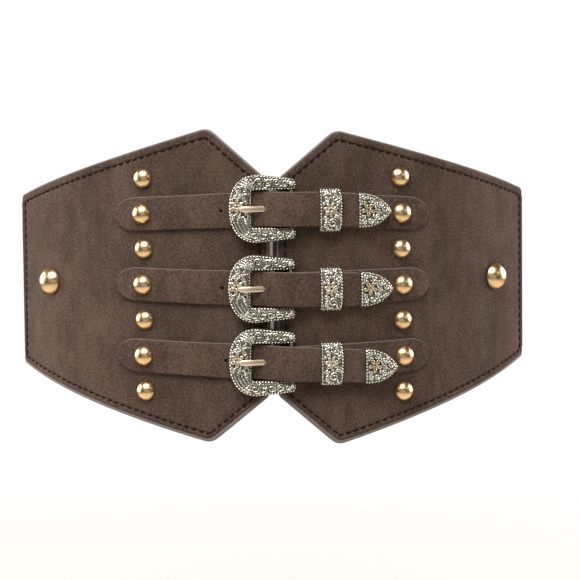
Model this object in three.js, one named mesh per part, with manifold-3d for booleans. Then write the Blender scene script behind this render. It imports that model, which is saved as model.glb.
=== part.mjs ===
// Corset belt: two pointed leather front panels joined by three buckled straps, with an elastic back.
// Millimetres, +Z up, front towards -Y. The origin is the middle of the waist hollow.
import * as THREE from 'three';
import { mergeVertices } from 'three/addons/utils/BufferGeometryUtils.js';
import Module from 'manifold-3d';

const wasm = await Module();
wasm.setup();

// Gap that every piece keeps to its neighbours
const CLEARANCE = 0.3;

// Plan of the front's outer face: a flatter arc in front, a tighter one at each side
const FRONT_RADIUS = 188;
const FRONT_ARC = 110;
const SIDE_RADIUS = 160;

// Front panels
const PANEL_END = 184.3;
const PANEL_THICKNESS = 2.4;
const CENTRE_GAP = 4.2;
const CENTRE_HEIGHT = 126;
const PEAK_PLACE = 37.4;
const PEAK_HEIGHT = 185.8;
const SIDE_HEIGHT = 103.4;
const PEAK_ROUND = 4;
const CORNER_ROUND = 2;
const PANEL_EDGE_ROUND = 0.8;
// Each panel hangs a little askew: how far its middle line is raised at each corner
const ASKEW = [
  { corner: 'centre', left: -0.3, right: -0.3 },
  { corner: 'peak', left: 1.0, right: -1.0 },
  { corner: 'side', left: -0.2, right: 0.6 },
];
// How far the top of each panel's side edge leans towards the middle of the belt
const SIDE_LEAN = { left: 1.2, right: 0.2 };

// Elastic back band, sewn inside the panels' side edges
const BAND_HEIGHT = 94;
const BAND_THICKNESS = 1.4;
const BAND_OVERLAP = 14;
const BAND_TURN_RADIUS = 24;
const BAND_TURN_ANGLE = THREE.MathUtils.degToRad(78);
const BAND_TURN_STEPS = 6;
const BAND_BACK_STEPS = 8;

// Metal strip that clasps the centre edges from behind
const CLASP_WIDTH = 13;
const CLASP_THICKNESS = 0.8;
const CLASP_HEIGHT = 114;
const CLASP_RIB_WIDTH = 1.8;
const CLASP_RIB_HEIGHT = 1.9;
const CLASP_RIB_PLACE = -0.8;

// Straps: the stations that each row crosses, and the rows' heights there as shares of the row pitch
const ROW_PITCH = 44.8;
const PLACES = { leftStud: -78, buckle: -5, keeper: 33.3, tip: 72, rightStud: 78.2 };
const ROWS = [
  { leftStud: 0.969, buckle: 1.039, keeper: 1.024, tip: 0.976, rightStud: 0.944 },
  { leftStud: 0.038, buckle: -0.005, keeper: -0.026, tip: -0.036, rightStud: 0 },
  { leftStud: -0.906, buckle: -0.965, keeper: -1.02, tip: -1.07, rightStud: -0.946 },
];
// The right column of studs leans outwards towards the bottom
const RIGHT_COLUMN_LEAN = 0.014;
const STRAP_WIDTH = 19.8;
const STRAP_EDGE_ROUND = 0.45;
const STRAP_END_LENGTH = 14;
const STRAP_END_STEPS = 5;
const STRAP_END_BLUNT_ANGLE = 0.2;
const TONGUE_THICKNESS = 1.9;
const TONGUE_START = -96.5;
const TONGUE_ENDS = [70.3, 71.2, 73.6];
const SPARE_HOLE_PLACES = [-29.7, -29.4, -27.9];
const SPARE_HOLE_DIAMETER = 1.9;
const BILLET_THICKNESS = 1.5;
const BILLET_END = 96.3;
const BILLET_TURN_BACK = 10;
const FOLD_STEPS = 6;

// Buckle frame: its own axes are u along the strap from the left edge, v up from the middle
const FRAME_STARTS = [-25.3, -26.2, -26.2];
const FRAME_LENGTH = 39.6;
const FRAME_HALF_HEIGHT = 19.9;
const FRAME_SHOULDER = 16.6;
const FRAME_CURVE_POWER = 2.3;
const FRAME_END_HALF_HEIGHT = 17.4;
const FRAME_THICKNESS = 4;
const WINDOW_START = 13.4;
const WINDOW_HALF_HEIGHT = 10.9;
const WINDOW_CORNER = 1.6;
const HEEL_RADIUS = 1;
const HEEL_INSET = 3.4;
const HEEL_BITE = 1.5;
const HEEL_SIDES = 10;

// Prong
const PRONG_WIDTH = 3.8;
const PRONG_NECK_WIDTH = 2.2;
const PRONG_THICKNESS = 1.7;
const PRONG_LOOP_WALL = 1.4;
const PRONG_REST = 6.8;
const PRONG_NECK_LIFT = 1;

// Keeper
const KEEPER_WIDTH = 12.7;
const KEEPER_HEIGHT = 26;
const KEEPER_SIDE_WALL = 1.5;
const KEEPER_BACK_WALL = 0.8;
const KEEPER_FRONT_WALL = 2.7;

// Strap tip
const TIP_LENGTH = 21.1;
const TIP_HALF_HEIGHT = 10.5;
const TIP_POINT_POWER = 2.3;
const TIP_WALL = 0.8;
const TIP_FRONT_WALL = 2.6;

// Studs
const STUD_RADIUS = 5.8;
const STUD_DOME = 4.6;
const END_STUD_RADIUS = 8;
const END_STUD_DOME = 6.6;
const END_STUD_PLACE = 150.5;
const END_STUD_LIFT = 0.6;
const POST_RADIUS = 1.6;
const STUD_CAP_RADIUS = 4;
const STUD_CAP_THICKNESS = 0.8;
const STUD_SIDES = 12;
const HOLE_SIDES = 8;
const DRILL_LENGTH = 40;

// Levels above the panels' outer face, worked out from the thicknesses
const LIE = CLEARANCE;
const FRAME_SEAT = LIE + TONGUE_THICKNESS + CLEARANCE;
const FOLD_MIDDLE_RADIUS = HEEL_RADIUS + CLEARANCE + BILLET_THICKNESS / 2;
const FOLD_OUTER_RADIUS = HEEL_RADIUS + CLEARANCE + BILLET_THICKNESS;
const HEEL_LEVEL = LIE + FOLD_OUTER_RADIUS;
const BILLET_LIE = LIE + BILLET_THICKNESS / 2;
const BILLET_DOUBLED = LIE + BILLET_THICKNESS + CLEARANCE + BILLET_THICKNESS / 2;
const BILLET_IN_KEEPER = LIE + KEEPER_BACK_WALL + CLEARANCE + BILLET_THICKNESS / 2;
const BILLET_ON_FOLD = HEEL_LEVEL + FOLD_MIDDLE_RADIUS;
const TONGUE_OVER_HEEL = HEEL_LEVEL + FOLD_OUTER_RADIUS + CLEARANCE;
const TONGUE_IN_KEEPER = BILLET_IN_KEEPER + BILLET_THICKNESS / 2 + CLEARANCE;
const KEEPER_INNER_TOP = TONGUE_IN_KEEPER + TONGUE_THICKNESS + CLEARANCE;
const TIP_BOTTOM = TONGUE_IN_KEEPER - CLEARANCE - TIP_WALL;
const TIP_INNER_TOP = TONGUE_IN_KEEPER + TONGUE_THICKNESS + CLEARANCE;

// The keepers' two edges along the belt
const KEEPER_START = PLACES.keeper - KEEPER_WIDTH / 2;
const KEEPER_END = PLACES.keeper + KEEPER_WIDTH / 2;

// Longest step between two sections along the belt
const STEP = 12;
// Longest step where a strap bends out of the belt's curve
const BEND_STEP = 3;

// Points closer than this are one point
const SAME_POINT = 1e-5;

const lerp = THREE.MathUtils.lerp;
const smoothstep = THREE.MathUtils.smoothstep;

// A place on the front: s along the outer face from its middle, n outside that face
function place(s, n) {
  const side = Math.sign(s) || 1;
  const along = Math.abs(s);
  const frontAngle = Math.min(along, FRONT_ARC) / FRONT_RADIUS;
  const angle = frontAngle + Math.max(along - FRONT_ARC, 0) / SIDE_RADIUS;
  const offset = FRONT_RADIUS - SIDE_RADIUS;
  const x = offset * Math.sin(frontAngle) + (SIDE_RADIUS + n) * Math.sin(angle);
  const y = FRONT_RADIUS - offset * Math.cos(frontAngle) - (SIDE_RADIUS + n) * Math.cos(angle);
  return { x: side * x, y, angle: side * angle };
}

function onBelt(s, n, z) {
  const spot = place(s, n);
  return new THREE.Vector3(spot.x, spot.y, z);
}

// Evenly spaced values from start to end, no further apart than the longest step
function spread(start, end, longest = STEP) {
  const count = Math.max(1, Math.ceil(Math.abs(end - start) / longest));
  return Array.from({ length: count + 1 }, (unused, i) => lerp(start, end, i / count));
}

// Closed body through rings of points, each ring with the same number of points
function loft(rings) {
  const count = rings[0].length;
  const faces = [];
  for (let i = 0; i + 1 < rings.length; i += 1) {
    for (let j = 0; j < count; j += 1) {
      const a = i * count + j;
      const b = i * count + (j + 1) % count;
      faces.push([a, b, b + count], [a, b + count, a + count]);
    }
  }
  const last = (rings.length - 1) * count;
  for (let j = 1; j + 1 < count; j += 1) {
    faces.push([0, j + 1, j], [last, last + j, last + j + 1]);
  }
  const points = rings.flat();
  const volume = faces.reduce((sum, [a, b, c]) => {
    const cross = new THREE.Vector3().crossVectors(points[b], points[c]);
    return sum + points[a].dot(cross);
  }, 0);
  const outward = volume > 0 ? faces : faces.map(([a, b, c]) => [a, c, b]);
  const geometry = new THREE.BufferGeometry().setFromPoints(points);
  geometry.setIndex(outward.flat());
  return geometry;
}

// Rectangle with rounded corners, as offsets across (z) and out (n)
function roundedSection(halfAcross, halfOut, round, steps) {
  const radius = Math.min(round, halfAcross * 0.9, halfOut * 0.9);
  const section = [];
  for (let corner = 0; corner < 4; corner += 1) {
    const start = corner * Math.PI / 2;
    const signAcross = corner === 0 || corner === 3 ? 1 : -1;
    const signOut = corner < 2 ? 1 : -1;
    for (let i = 0; i <= steps; i += 1) {
      const turn = start + (i / steps) * Math.PI / 2;
      section.push({
        across: signAcross * (halfAcross - radius) + radius * Math.cos(turn),
        out: signOut * (halfOut - radius) + radius * Math.sin(turn),
      });
    }
  }
  return section;
}

// Flexible strip along a path of {s, n, z, half}: n is its middle level, z its middle height
function strip(path, thickness, round) {
  const rings = path.map((point, i) => {
    const before = path[Math.max(i - 1, 0)];
    const after = path[Math.min(i + 1, path.length - 1)];
    const tilt = Math.atan2(after.n - before.n, after.s - before.s);
    const section = roundedSection(point.half, (point.thickness ?? thickness) / 2, round, 1);
    return section.map(({ across, out }) => onBelt(
      point.s - out * Math.sin(tilt),
      point.n + out * Math.cos(tilt),
      point.z + across,
    ));
  });
  return loft(rings);
}

function toSolid(geometry) {
  const bare = geometry.clone();
  bare.deleteAttribute('normal');
  bare.deleteAttribute('uv');
  const merged = mergeVertices(bare, SAME_POINT);
  return new wasm.Manifold(new wasm.Mesh({
    numProp: 3,
    vertProperties: new Float32Array(merged.attributes.position.array),
    triVerts: new Uint32Array(merged.index.array),
  }));
}

function toGeometry(solid) {
  const { vertProperties, triVerts } = solid.getMesh();
  const geometry = new THREE.BufferGeometry();
  geometry.setAttribute('position', new THREE.BufferAttribute(vertProperties, 3));
  geometry.setIndex(new THREE.BufferAttribute(triVerts, 1));
  return geometry;
}

function cut(geometry, tools) {
  return toGeometry(tools.reduce((solid, tool) => solid.subtract(toSolid(tool)), toSolid(geometry)));
}

function join(geometry, other) {
  return toGeometry(toSolid(geometry).add(toSolid(other)));
}

// Turns a shape whose axis is +Y so that it points straight out of the belt at s, z
function standOnBelt(object, s, z) {
  const { x, y, angle } = place(s, 0);
  object.position.set(x, y, z);
  object.quaternion.setFromUnitVectors(
    new THREE.Vector3(0, 1, 0),
    new THREE.Vector3(Math.sin(angle), -Math.cos(angle), 0),
  );
  return object;
}

// Round tool that drills straight through the belt at s, z, its flats at the radius
function drill(s, z, radius) {
  const corner = radius / Math.cos(Math.PI / HOLE_SIDES);
  const tool = standOnBelt(new THREE.Object3D(), s, z);
  tool.updateMatrix();
  return new THREE.CylinderGeometry(corner, corner, DRILL_LENGTH, HOLE_SIDES).applyMatrix4(tool.matrix);
}

const postHole = (s, z) => drill(s, z, POST_RADIUS + CLEARANCE);

// Height of a row's middle line at a station, and along the tongue strap from station to station
const rowHeight = (index, station) => ROWS[index][station] * ROW_PITCH;

function tongueHeight(index, s) {
  const stations = ['leftStud', 'buckle', 'keeper', 'tip'];
  const passed = stations.filter((station) => PLACES[station] < s).length;
  const start = Math.min(Math.max(passed - 1, 0), stations.length - 2);
  const [from, to] = [stations[start], stations[start + 1]];
  const share = (s - PLACES[from]) / (PLACES[to] - PLACES[from]);
  return lerp(rowHeight(index, from), rowHeight(index, to), share);
}

const frameHeight = (index) => rowHeight(index, 'buckle');
const heelPlace = (index) => FRAME_STARTS[index] + FRAME_LENGTH - HEEL_INSET;

// The buckle strap runs straight from the heel bar to a line through its stud
function billetHeight(index, s) {
  const heel = heelPlace(index);
  const share = Math.max(0, (s - heel) / (PLACES.rightStud - heel));
  return lerp(tongueHeight(index, heel), rowHeight(index, 'rightStud'), share);
}

// The studs of one column: one on every strap, one above and below each, as {s, z, onStrap}
function studPlaces(station) {
  const heights = ROWS.map((row, index) => rowHeight(index, station));
  const [top, middle, bottom] = heights;
  const upper = (top - middle) / 2;
  const lower = (middle - bottom) / 2;
  const lean = station === 'rightStud' ? RIGHT_COLUMN_LEAN : 0;
  return [top + upper, top, middle + upper, middle, middle - lower, bottom, bottom - lower].map((z, i) => ({
    s: PLACES[station] - lean * z, z, onStrap: i % 2 === 1,
  }));
}

const strapStud = (station, index) => studPlaces(station).filter(({ onStrap }) => onStrap)[index];

// Front panel: the outline's half height and middle height along s
function panelOutline(distance, side) {
  const corners = [
    { s: CENTRE_GAP / 2, half: CENTRE_HEIGHT / 2, lift: ASKEW[0][side] },
    { s: PEAK_PLACE, half: PEAK_HEIGHT / 2, lift: ASKEW[1][side] },
    { s: PANEL_END, half: SIDE_HEIGHT / 2, lift: ASKEW[2][side] },
  ];
  const [centre, peak, end] = corners;
  const rise = (peak.half - centre.half) / (peak.s - centre.s);
  const fall = (end.half - peak.half) / (end.s - peak.s);
  const beyond = distance - peak.s;
  let half = peak.half + (beyond < 0 ? rise : fall) * beyond;
  if (Math.abs(beyond) < PEAK_ROUND) {
    const bend = (fall - rise) / (4 * PEAK_ROUND);
    half = peak.half + ((rise + fall) / 2) * beyond + bend * (beyond ** 2 + PEAK_ROUND ** 2);
  }
  const [from, to] = beyond < 0 ? [centre, peak] : [peak, end];
  const lift = lerp(from.lift, to.lift, (distance - from.s) / (to.s - from.s));
  return { half, lift };
}

// How far a rounded corner of a given radius steps back at a distance from the edge
function stepBack(distance, radius) {
  return radius - Math.sqrt(Math.max(0, radius ** 2 - Math.max(0, radius - distance) ** 2));
}

function panelColumns() {
  const start = CENTRE_GAP / 2;
  const endSteps = [0, 0.25, PANEL_EDGE_ROUND, CORNER_ROUND];
  const peakSteps = [-PEAK_ROUND, -PEAK_ROUND / 3, PEAK_ROUND / 3, PEAK_ROUND];
  return [
    ...endSteps.map((step) => start + step),
    ...spread(start + CORNER_ROUND, PEAK_PLACE - PEAK_ROUND).slice(1, -1),
    ...peakSteps.map((step) => PEAK_PLACE + step),
    ...spread(PEAK_PLACE + PEAK_ROUND, PANEL_END - CORNER_ROUND).slice(1, -1),
    ...endSteps.map((step) => PANEL_END - step).reverse(),
  ];
}

function panelGeometry(side) {
  const sign = side === 'left' ? -1 : 1;
  const slant = SIDE_LEAN[side] / SIDE_HEIGHT;
  const rings = panelColumns().map((distance) => {
    const fromEnd = Math.min(distance - CENTRE_GAP / 2, PANEL_END - distance);
    const { half, lift } = panelOutline(distance, side);
    const thin = stepBack(fromEnd, PANEL_EDGE_ROUND);
    const section = roundedSection(
      half - stepBack(fromEnd, CORNER_ROUND),
      PANEL_THICKNESS / 2 - thin,
      PANEL_EDGE_ROUND,
      1,
    );
    const lean = slant * Math.max(0, distance - PEAK_PLACE) / (PANEL_END - PEAK_PLACE);
    return section.map(({ across, out }) => (
      onBelt(sign * (distance - lean * across), out - PANEL_THICKNESS / 2, lift + across)
    ));
  });
  const holes = studPlaces(`${side}Stud`).map(({ s, z }) => postHole(s, z));
  holes.push(postHole(sign * END_STUD_PLACE, END_STUD_LIFT));
  return cut(loft(rings), holes);
}

// Back band: along the panel's inside, round a turn at its edge and across the back to the middle
function bandPlan() {
  const level = -(PANEL_THICKNESS + CLEARANCE + BAND_THICKNESS / 2);
  const plan = spread(PANEL_END - BAND_OVERLAP, PANEL_END).map((s) => place(s, level));
  const follow = (radius, endAngle, steps) => {
    const { x, y, angle } = plan.at(-1);
    for (let i = 1; i <= steps; i += 1) {
      const next = lerp(angle, endAngle, i / steps);
      plan.push({
        x: x + radius * (Math.sin(next) - Math.sin(angle)),
        y: y - radius * (Math.cos(next) - Math.cos(angle)),
        angle: next,
      });
    }
  };
  follow(BAND_TURN_RADIUS, plan.at(-1).angle + BAND_TURN_ANGLE, BAND_TURN_STEPS);
  const { x, angle } = plan.at(-1);
  follow(x / Math.sin(angle), Math.PI, BAND_BACK_STEPS);
  return plan;
}

const backPlan = bandPlan();
const loopDepth = backPlan.at(-1).y + BAND_THICKNESS / 2;

function backBandGeometry() {
  const mirrored = backPlan.slice(0, -1).reverse();
  const wholePlan = [
    ...backPlan,
    ...mirrored.map(({ x, y, angle }) => ({ x: -x, y, angle: 2 * Math.PI - angle })),
  ];
  const section = roundedSection(BAND_HEIGHT / 2, BAND_THICKNESS / 2, BAND_THICKNESS / 3, 1);
  return loft(wholePlan.map(({ x, y, angle }) => section.map(({ across, out }) => (
    new THREE.Vector3(x + out * Math.sin(angle), y - out * Math.cos(angle), across)
  ))));
}

// Box in belt coordinates, bent with the belt
function beltBox(s0, s1, n0, n1, z0, z1) {
  return loft(spread(s0, s1).map((s) => [
    onBelt(s, n0, z0), onBelt(s, n1, z0), onBelt(s, n1, z1), onBelt(s, n0, z1),
  ]));
}

function claspGeometry() {
  const back = -(PANEL_THICKNESS + CLEARANCE + CLASP_THICKNESS);
  const strap = beltBox(-CLASP_WIDTH / 2, CLASP_WIDTH / 2, back, back + CLASP_THICKNESS,
    -CLASP_HEIGHT / 2, CLASP_HEIGHT / 2);
  const ribStart = CLASP_RIB_PLACE - CLASP_RIB_WIDTH / 2;
  const rib = beltBox(ribStart, ribStart + CLASP_RIB_WIDTH, back + CLASP_THICKNESS / 2,
    back + CLASP_THICKNESS + CLASP_RIB_HEIGHT, -CLASP_HEIGHT / 2, CLASP_HEIGHT / 2);
  return join(strap, rib);
}

// Outline of a strap's rounded end: half an ellipse, blunt at its very tip
function roundedEnd(end, direction) {
  return Array.from({ length: STRAP_END_STEPS }, (unused, i) => {
    const turn = lerp(STRAP_END_BLUNT_ANGLE, Math.PI / 2, i / STRAP_END_STEPS);
    return {
      s: end - direction * STRAP_END_LENGTH * (1 - Math.cos(turn)),
      half: (STRAP_WIDTH / 2) * Math.sin(turn),
    };
  });
}

// Half height of the cast tip at a share of its length, 0 at its straight edge and 1 at its point
const tipHalf = (share) => TIP_HALF_HEIGHT * (1 - share ** TIP_POINT_POWER);

// Level of the tongue's underside: flat on the panel, up over the heel bar, down into the keeper
const riseStart = (index) => FRAME_STARTS[index] + WINDOW_START - HEEL_RADIUS;
const fallStart = (index) => heelPlace(index) + HEEL_RADIUS * 2;

function tongueLevel(s, index) {
  const riseEnd = heelPlace(index) + HEEL_RADIUS - FOLD_OUTER_RADIUS;
  const up = (TONGUE_OVER_HEEL - LIE) * smoothstep(s, riseStart(index), riseEnd);
  const down = (TONGUE_OVER_HEEL - TONGUE_IN_KEEPER) * smoothstep(s, fallStart(index), KEEPER_START);
  return LIE + up - down;
}

function tonguePath(index) {
  const rise = riseStart(index);
  const fall = fallStart(index);
  const tipStart = TONGUE_ENDS[index] - TIP_LENGTH;
  const shoulder = TIP_WALL + CLEARANCE;
  const columns = [
    ...roundedEnd(TONGUE_START, -1),
    ...[
      ...spread(TONGUE_START + STRAP_END_LENGTH, rise),
      ...spread(rise, fall, BEND_STEP).slice(1),
      ...spread(fall, KEEPER_START, BEND_STEP).slice(1),
      ...spread(KEEPER_START, tipStart - shoulder).slice(1),
    ].map((s) => ({ s, half: STRAP_WIDTH / 2 })),
    ...[0, 0.25, 0.5, 0.65, 0.78].map((share) => ({
      s: tipStart + share * TIP_LENGTH,
      half: Math.min(STRAP_WIDTH / 2, tipHalf(share) - shoulder),
    })),
  ];
  return columns.map(({ s, half }) => ({
    s, half, n: tongueLevel(s, index) + TONGUE_THICKNESS / 2, z: tongueHeight(index, s),
  }));
}

function tongueGeometry(index) {
  const stud = strapStud('leftStud', index);
  const spare = SPARE_HOLE_PLACES[index];
  const tools = [
    postHole(stud.s, stud.z),
    drill(spare, tongueHeight(index, spare), SPARE_HOLE_DIAMETER / 2),
    prongBody(index, CLEARANCE),
  ];
  return cut(strip(tonguePath(index), TONGUE_THICKNESS, STRAP_EDGE_ROUND), tools);
}

// Buckle strap: from its turned back end round the heel bar, then along the right panel
function billetPath(index) {
  const heel = heelPlace(index);
  const turnBackEnd = heel + BILLET_TURN_BACK;
  const flatStart = TONGUE_ENDS[0] - TIP_LENGTH * 1.1;
  const half = STRAP_WIDTH / 2;
  const level = (s) => BILLET_ON_FOLD
    - (BILLET_ON_FOLD - BILLET_DOUBLED) * smoothstep(s, heel + HEEL_RADIUS, heel + BILLET_TURN_BACK * 0.8)
    - (BILLET_DOUBLED - BILLET_IN_KEEPER) * smoothstep(s, turnBackEnd, KEEPER_START - HEEL_RADIUS)
    - (BILLET_IN_KEEPER - BILLET_LIE) * smoothstep(s, KEEPER_END, flatStart);
  const lower = [turnBackEnd, heel + BILLET_TURN_BACK / 2].map((s) => ({ s, n: BILLET_LIE, half }));
  const fold = Array.from({ length: FOLD_STEPS + 1 }, (unused, i) => {
    const turn = -Math.PI / 2 - (i / FOLD_STEPS) * Math.PI;
    return {
      s: heel + FOLD_MIDDLE_RADIUS * Math.cos(turn),
      n: HEEL_LEVEL + FOLD_MIDDLE_RADIUS * Math.sin(turn),
      half,
    };
  });
  const straight = [
    ...spread(heel + HEEL_RADIUS, KEEPER_START, BEND_STEP),
    ...spread(KEEPER_START, KEEPER_END).slice(1),
    ...spread(KEEPER_END, flatStart, BEND_STEP).slice(1),
    ...spread(flatStart, BILLET_END - STRAP_END_LENGTH).slice(1),
  ].map((s) => ({ s, half }));
  const upper = [...straight, ...roundedEnd(BILLET_END, 1).reverse()].map((point) => ({
    ...point, n: level(point.s),
  }));
  return [...lower, ...fold, ...upper].map((point) => ({
    ...point, z: billetHeight(index, point.s),
  }));
}

function billetGeometry(index) {
  const heel = heelPlace(index);
  const stud = strapStud('rightStud', index);
  const slotReach = FOLD_OUTER_RADIUS + CLEARANCE;
  const slotHalf = PRONG_WIDTH / 2 + CLEARANCE;
  const middle = frameHeight(index);
  const slot = beltBox(heel - slotReach, heel + slotReach, 0, TONGUE_OVER_HEEL,
    middle - slotHalf, middle + slotHalf);
  const tools = [slot, postHole(stud.s, stud.z)];
  return cut(strip(billetPath(index), BILLET_THICKNESS, STRAP_EDGE_ROUND), tools);
}

// Buckle frame: pairs of an outer and an inner outline point, from the upper arm's end to the left middle
const CURVED_STATIONS = [
  { turn: 80, inner: 'corner end' },
  { turn: 62, inner: 'corner middle' },
  { turn: 45, inner: 0.72 },
  { turn: 24, inner: 0.38 },
];

function curvedOutline(degrees) {
  const turn = THREE.MathUtils.degToRad(degrees);
  const power = 2 / FRAME_CURVE_POWER;
  return {
    u: FRAME_SHOULDER * (1 - Math.cos(turn) ** power),
    v: FRAME_HALF_HEIGHT * Math.sin(turn) ** power,
  };
}

function innerPoint(kind) {
  const bend = WINDOW_CORNER * (1 - Math.SQRT1_2);
  if (kind === 'corner end') return { u: WINDOW_START + WINDOW_CORNER, v: WINDOW_HALF_HEIGHT };
  if (kind === 'corner middle') return { u: WINDOW_START + bend, v: WINDOW_HALF_HEIGHT - bend };
  return { u: WINDOW_START, v: kind * WINDOW_HALF_HEIGHT };
}

function framePairs() {
  const armHalf = (u) => lerp(FRAME_HALF_HEIGHT, FRAME_END_HALF_HEIGHT,
    (u - FRAME_SHOULDER) / (FRAME_LENGTH - FRAME_SHOULDER));
  const endSteps = [
    { back: 0, shrink: 0.42, low: 0.5 },
    { back: 0.7, shrink: 0.14, low: 0.85 },
    { back: 2, shrink: 0, low: 1 },
  ];
  const arm = [
    ...endSteps.map(({ back, shrink, low }) => ({ u: FRAME_LENGTH - back, shrink, low })),
    ...[0.62, 0.3, 0].map((share) => ({
      u: lerp(FRAME_SHOULDER + 1, FRAME_LENGTH - 2, share), shrink: 0, low: 1,
    })),
  ].map(({ u, shrink, low }) => {
    const middle = (armHalf(u) + WINDOW_HALF_HEIGHT) / 2;
    return {
      outer: { u, v: lerp(armHalf(u), middle, shrink) },
      inner: { u, v: lerp(WINDOW_HALF_HEIGHT, middle, shrink) },
      low,
    };
  });
  const curved = CURVED_STATIONS.map(({ turn, inner }) => ({
    outer: curvedOutline(turn), inner: innerPoint(inner), low: 1,
  }));
  const upper = [...arm, ...curved];
  const middle = { outer: { u: 0, v: 0 }, inner: innerPoint(0), low: 1 };
  const flip = ({ u, v }) => ({ u, v: -v });
  const lower = upper.map(({ outer, inner, low }) => ({ outer: flip(outer), inner: flip(inner), low }));
  return [...upper, middle, ...lower.reverse()];
}

// Domed section of the frame: share across from the outer edge, share of the thickness
const FRAME_DOME = [
  { across: 0, height: 0 },
  { across: 0, height: 0.38 },
  { across: 0.14, height: 0.76 },
  { across: 0.4, height: 1 },
  { across: 0.75, height: 0.86 },
  { across: 1, height: 0.42 },
  { across: 1, height: 0 },
];

function frameGeometry(index) {
  const start = FRAME_STARTS[index];
  const middle = frameHeight(index);
  const rings = framePairs().map(({ outer, inner, low }) => (
    FRAME_DOME.map(({ across, height }) => onBelt(
      start + lerp(outer.u, inner.u, across),
      FRAME_SEAT + FRAME_THICKNESS * height * low,
      middle + lerp(outer.v, inner.v, across),
    ))
  ));
  const heelLength = 2 * (WINDOW_HALF_HEIGHT + HEEL_BITE);
  const heel = new THREE.CylinderGeometry(HEEL_RADIUS, HEEL_RADIUS, heelLength, HEEL_SIDES);
  heel.rotateX(Math.PI / 2);
  const { x, y } = place(heelPlace(index), HEEL_LEVEL);
  heel.translate(x, y, middle);
  return join(loft(rings), heel);
}

// Prong: from its loop, under the tongue, up through the punched hole and over the frame's bar
function prongBody(index, grow) {
  const heel = heelPlace(index);
  const tip = FRAME_STARTS[index] + PRONG_REST;
  const resting = FRAME_SEAT + FRAME_THICKNESS + CLEARANCE + PRONG_THICKNESS / 2;
  const low = LIE + CLEARANCE + PRONG_THICKNESS / 2 + PRONG_NECK_LIFT;
  const loop = HEEL_RADIUS + CLEARANCE + PRONG_THICKNESS / 4;
  const route = [
    { share: 0, level: 1, width: 0.55, thickness: 0.6 },
    { share: 0.03, level: 1, width: 0.82, thickness: 0.9 },
    { share: 0.14, level: 0.975, width: 1, thickness: 1 },
    { share: 0.27, level: 0.75, width: 1, thickness: 1 },
    { share: 0.4, level: 0.43, width: 0.86, thickness: 1 },
    { share: 0.52, level: 0.17, width: 0.5, thickness: 0.95 },
    { share: 0.66, level: 0, width: 0.55, thickness: 0.95 },
    { share: 0.82, level: 0.01, width: 0.55, thickness: 0.95 },
    { share: 1, level: 0.13, width: 0.55, thickness: 1 },
  ];
  const path = route.map(({ share, level, width, thickness }) => ({
    s: lerp(tip, heel - loop, share),
    n: lerp(low, resting, level),
    z: frameHeight(index),
    half: lerp(PRONG_NECK_WIDTH, PRONG_WIDTH, (width - 0.5) * 2) / 2 + grow,
    thickness: PRONG_THICKNESS * thickness + 2 * grow,
  }));
  return strip(path, PRONG_THICKNESS, PRONG_THICKNESS / 3);
}

function prongGeometry(index) {
  const inner = HEEL_RADIUS + CLEARANCE;
  const ring = new THREE.Shape().absarc(0, 0, inner + PRONG_LOOP_WALL, 0, 2 * Math.PI);
  ring.holes.push(new THREE.Path().absarc(0, 0, inner, 0, 2 * Math.PI));
  const loop = new THREE.ExtrudeGeometry(ring, {
    depth: PRONG_WIDTH, bevelEnabled: false, curveSegments: 6,
  });
  const { x, y } = place(heelPlace(index), HEEL_LEVEL);
  loop.translate(x, y, frameHeight(index) - PRONG_WIDTH / 2);
  return join(loop, prongBody(index, 0));
}

// Keeper: a domed band in front, thin behind, open for both straps
function keeperGeometry(index) {
  const middle = (tongueHeight(index, PLACES.keeper) + billetHeight(index, PLACES.keeper)) / 2;
  const half = KEEPER_HEIGHT / 2;
  const top = KEEPER_INNER_TOP + KEEPER_FRONT_WALL;
  const outline = [
    { across: 0.88, level: LIE },
    { across: 1, level: lerp(LIE, top, 0.15) },
    { across: 1, level: lerp(LIE, top, 0.6) },
    { across: 0.9, level: lerp(LIE, top, 0.82) },
    { across: 0.5, level: lerp(LIE, top, 0.96) },
    { across: 0, level: top },
  ];
  const left = outline.slice(0, -1).reverse().map(({ across, level }) => ({ across: -across, level }));
  const ring = [...outline, ...left];
  const outer = loft([KEEPER_START, PLACES.keeper, KEEPER_END].map((s) => (
    ring.map(({ across, level }) => onBelt(s, level, middle + across * half))
  )));
  const innerHalf = half - KEEPER_SIDE_WALL;
  const hollow = beltBox(KEEPER_START - CLEARANCE, KEEPER_END + CLEARANCE, LIE + KEEPER_BACK_WALL,
    KEEPER_INNER_TOP, middle - innerHalf, middle + innerHalf);
  return cut(outer, [hollow]);
}

// Strap tip: a domed pointed cap with a pocket for the strap's end
function tipGeometry(index) {
  const start = TONGUE_ENDS[index] - TIP_LENGTH;
  const top = TIP_INNER_TOP + TIP_FRONT_WALL;
  const dome = [
    { across: 1, level: TIP_BOTTOM },
    { across: 1, level: lerp(TIP_BOTTOM, top, 0.6) },
    { across: 0.84, level: lerp(TIP_BOTTOM, top, 0.88) },
    { across: 0.4, level: top },
  ];
  const ring = [...dome, ...dome.map(({ across, level }) => ({ across: -across, level })).reverse()];
  const shares = [0, 0.25, 0.45, 0.62, 0.76, 0.87, 0.95];
  const outer = loft(shares.map((share) => {
    const s = start + share * TIP_LENGTH;
    return ring.map(({ across, level }) => (
      onBelt(s, level, tongueHeight(index, s) + across * tipHalf(share))
    ));
  }));
  const inside = tonguePath(index)
    .filter(({ s }) => s > start - STEP)
    .map((point) => ({ ...point, half: point.half + CLEARANCE }));
  const last = inside.at(-1);
  const reach = { ...last, s: last.s + CLEARANCE };
  return cut(outer, [strip([...inside, reach], TONGUE_THICKNESS + 2 * CLEARANCE, STRAP_EDGE_ROUND)]);
}

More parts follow.
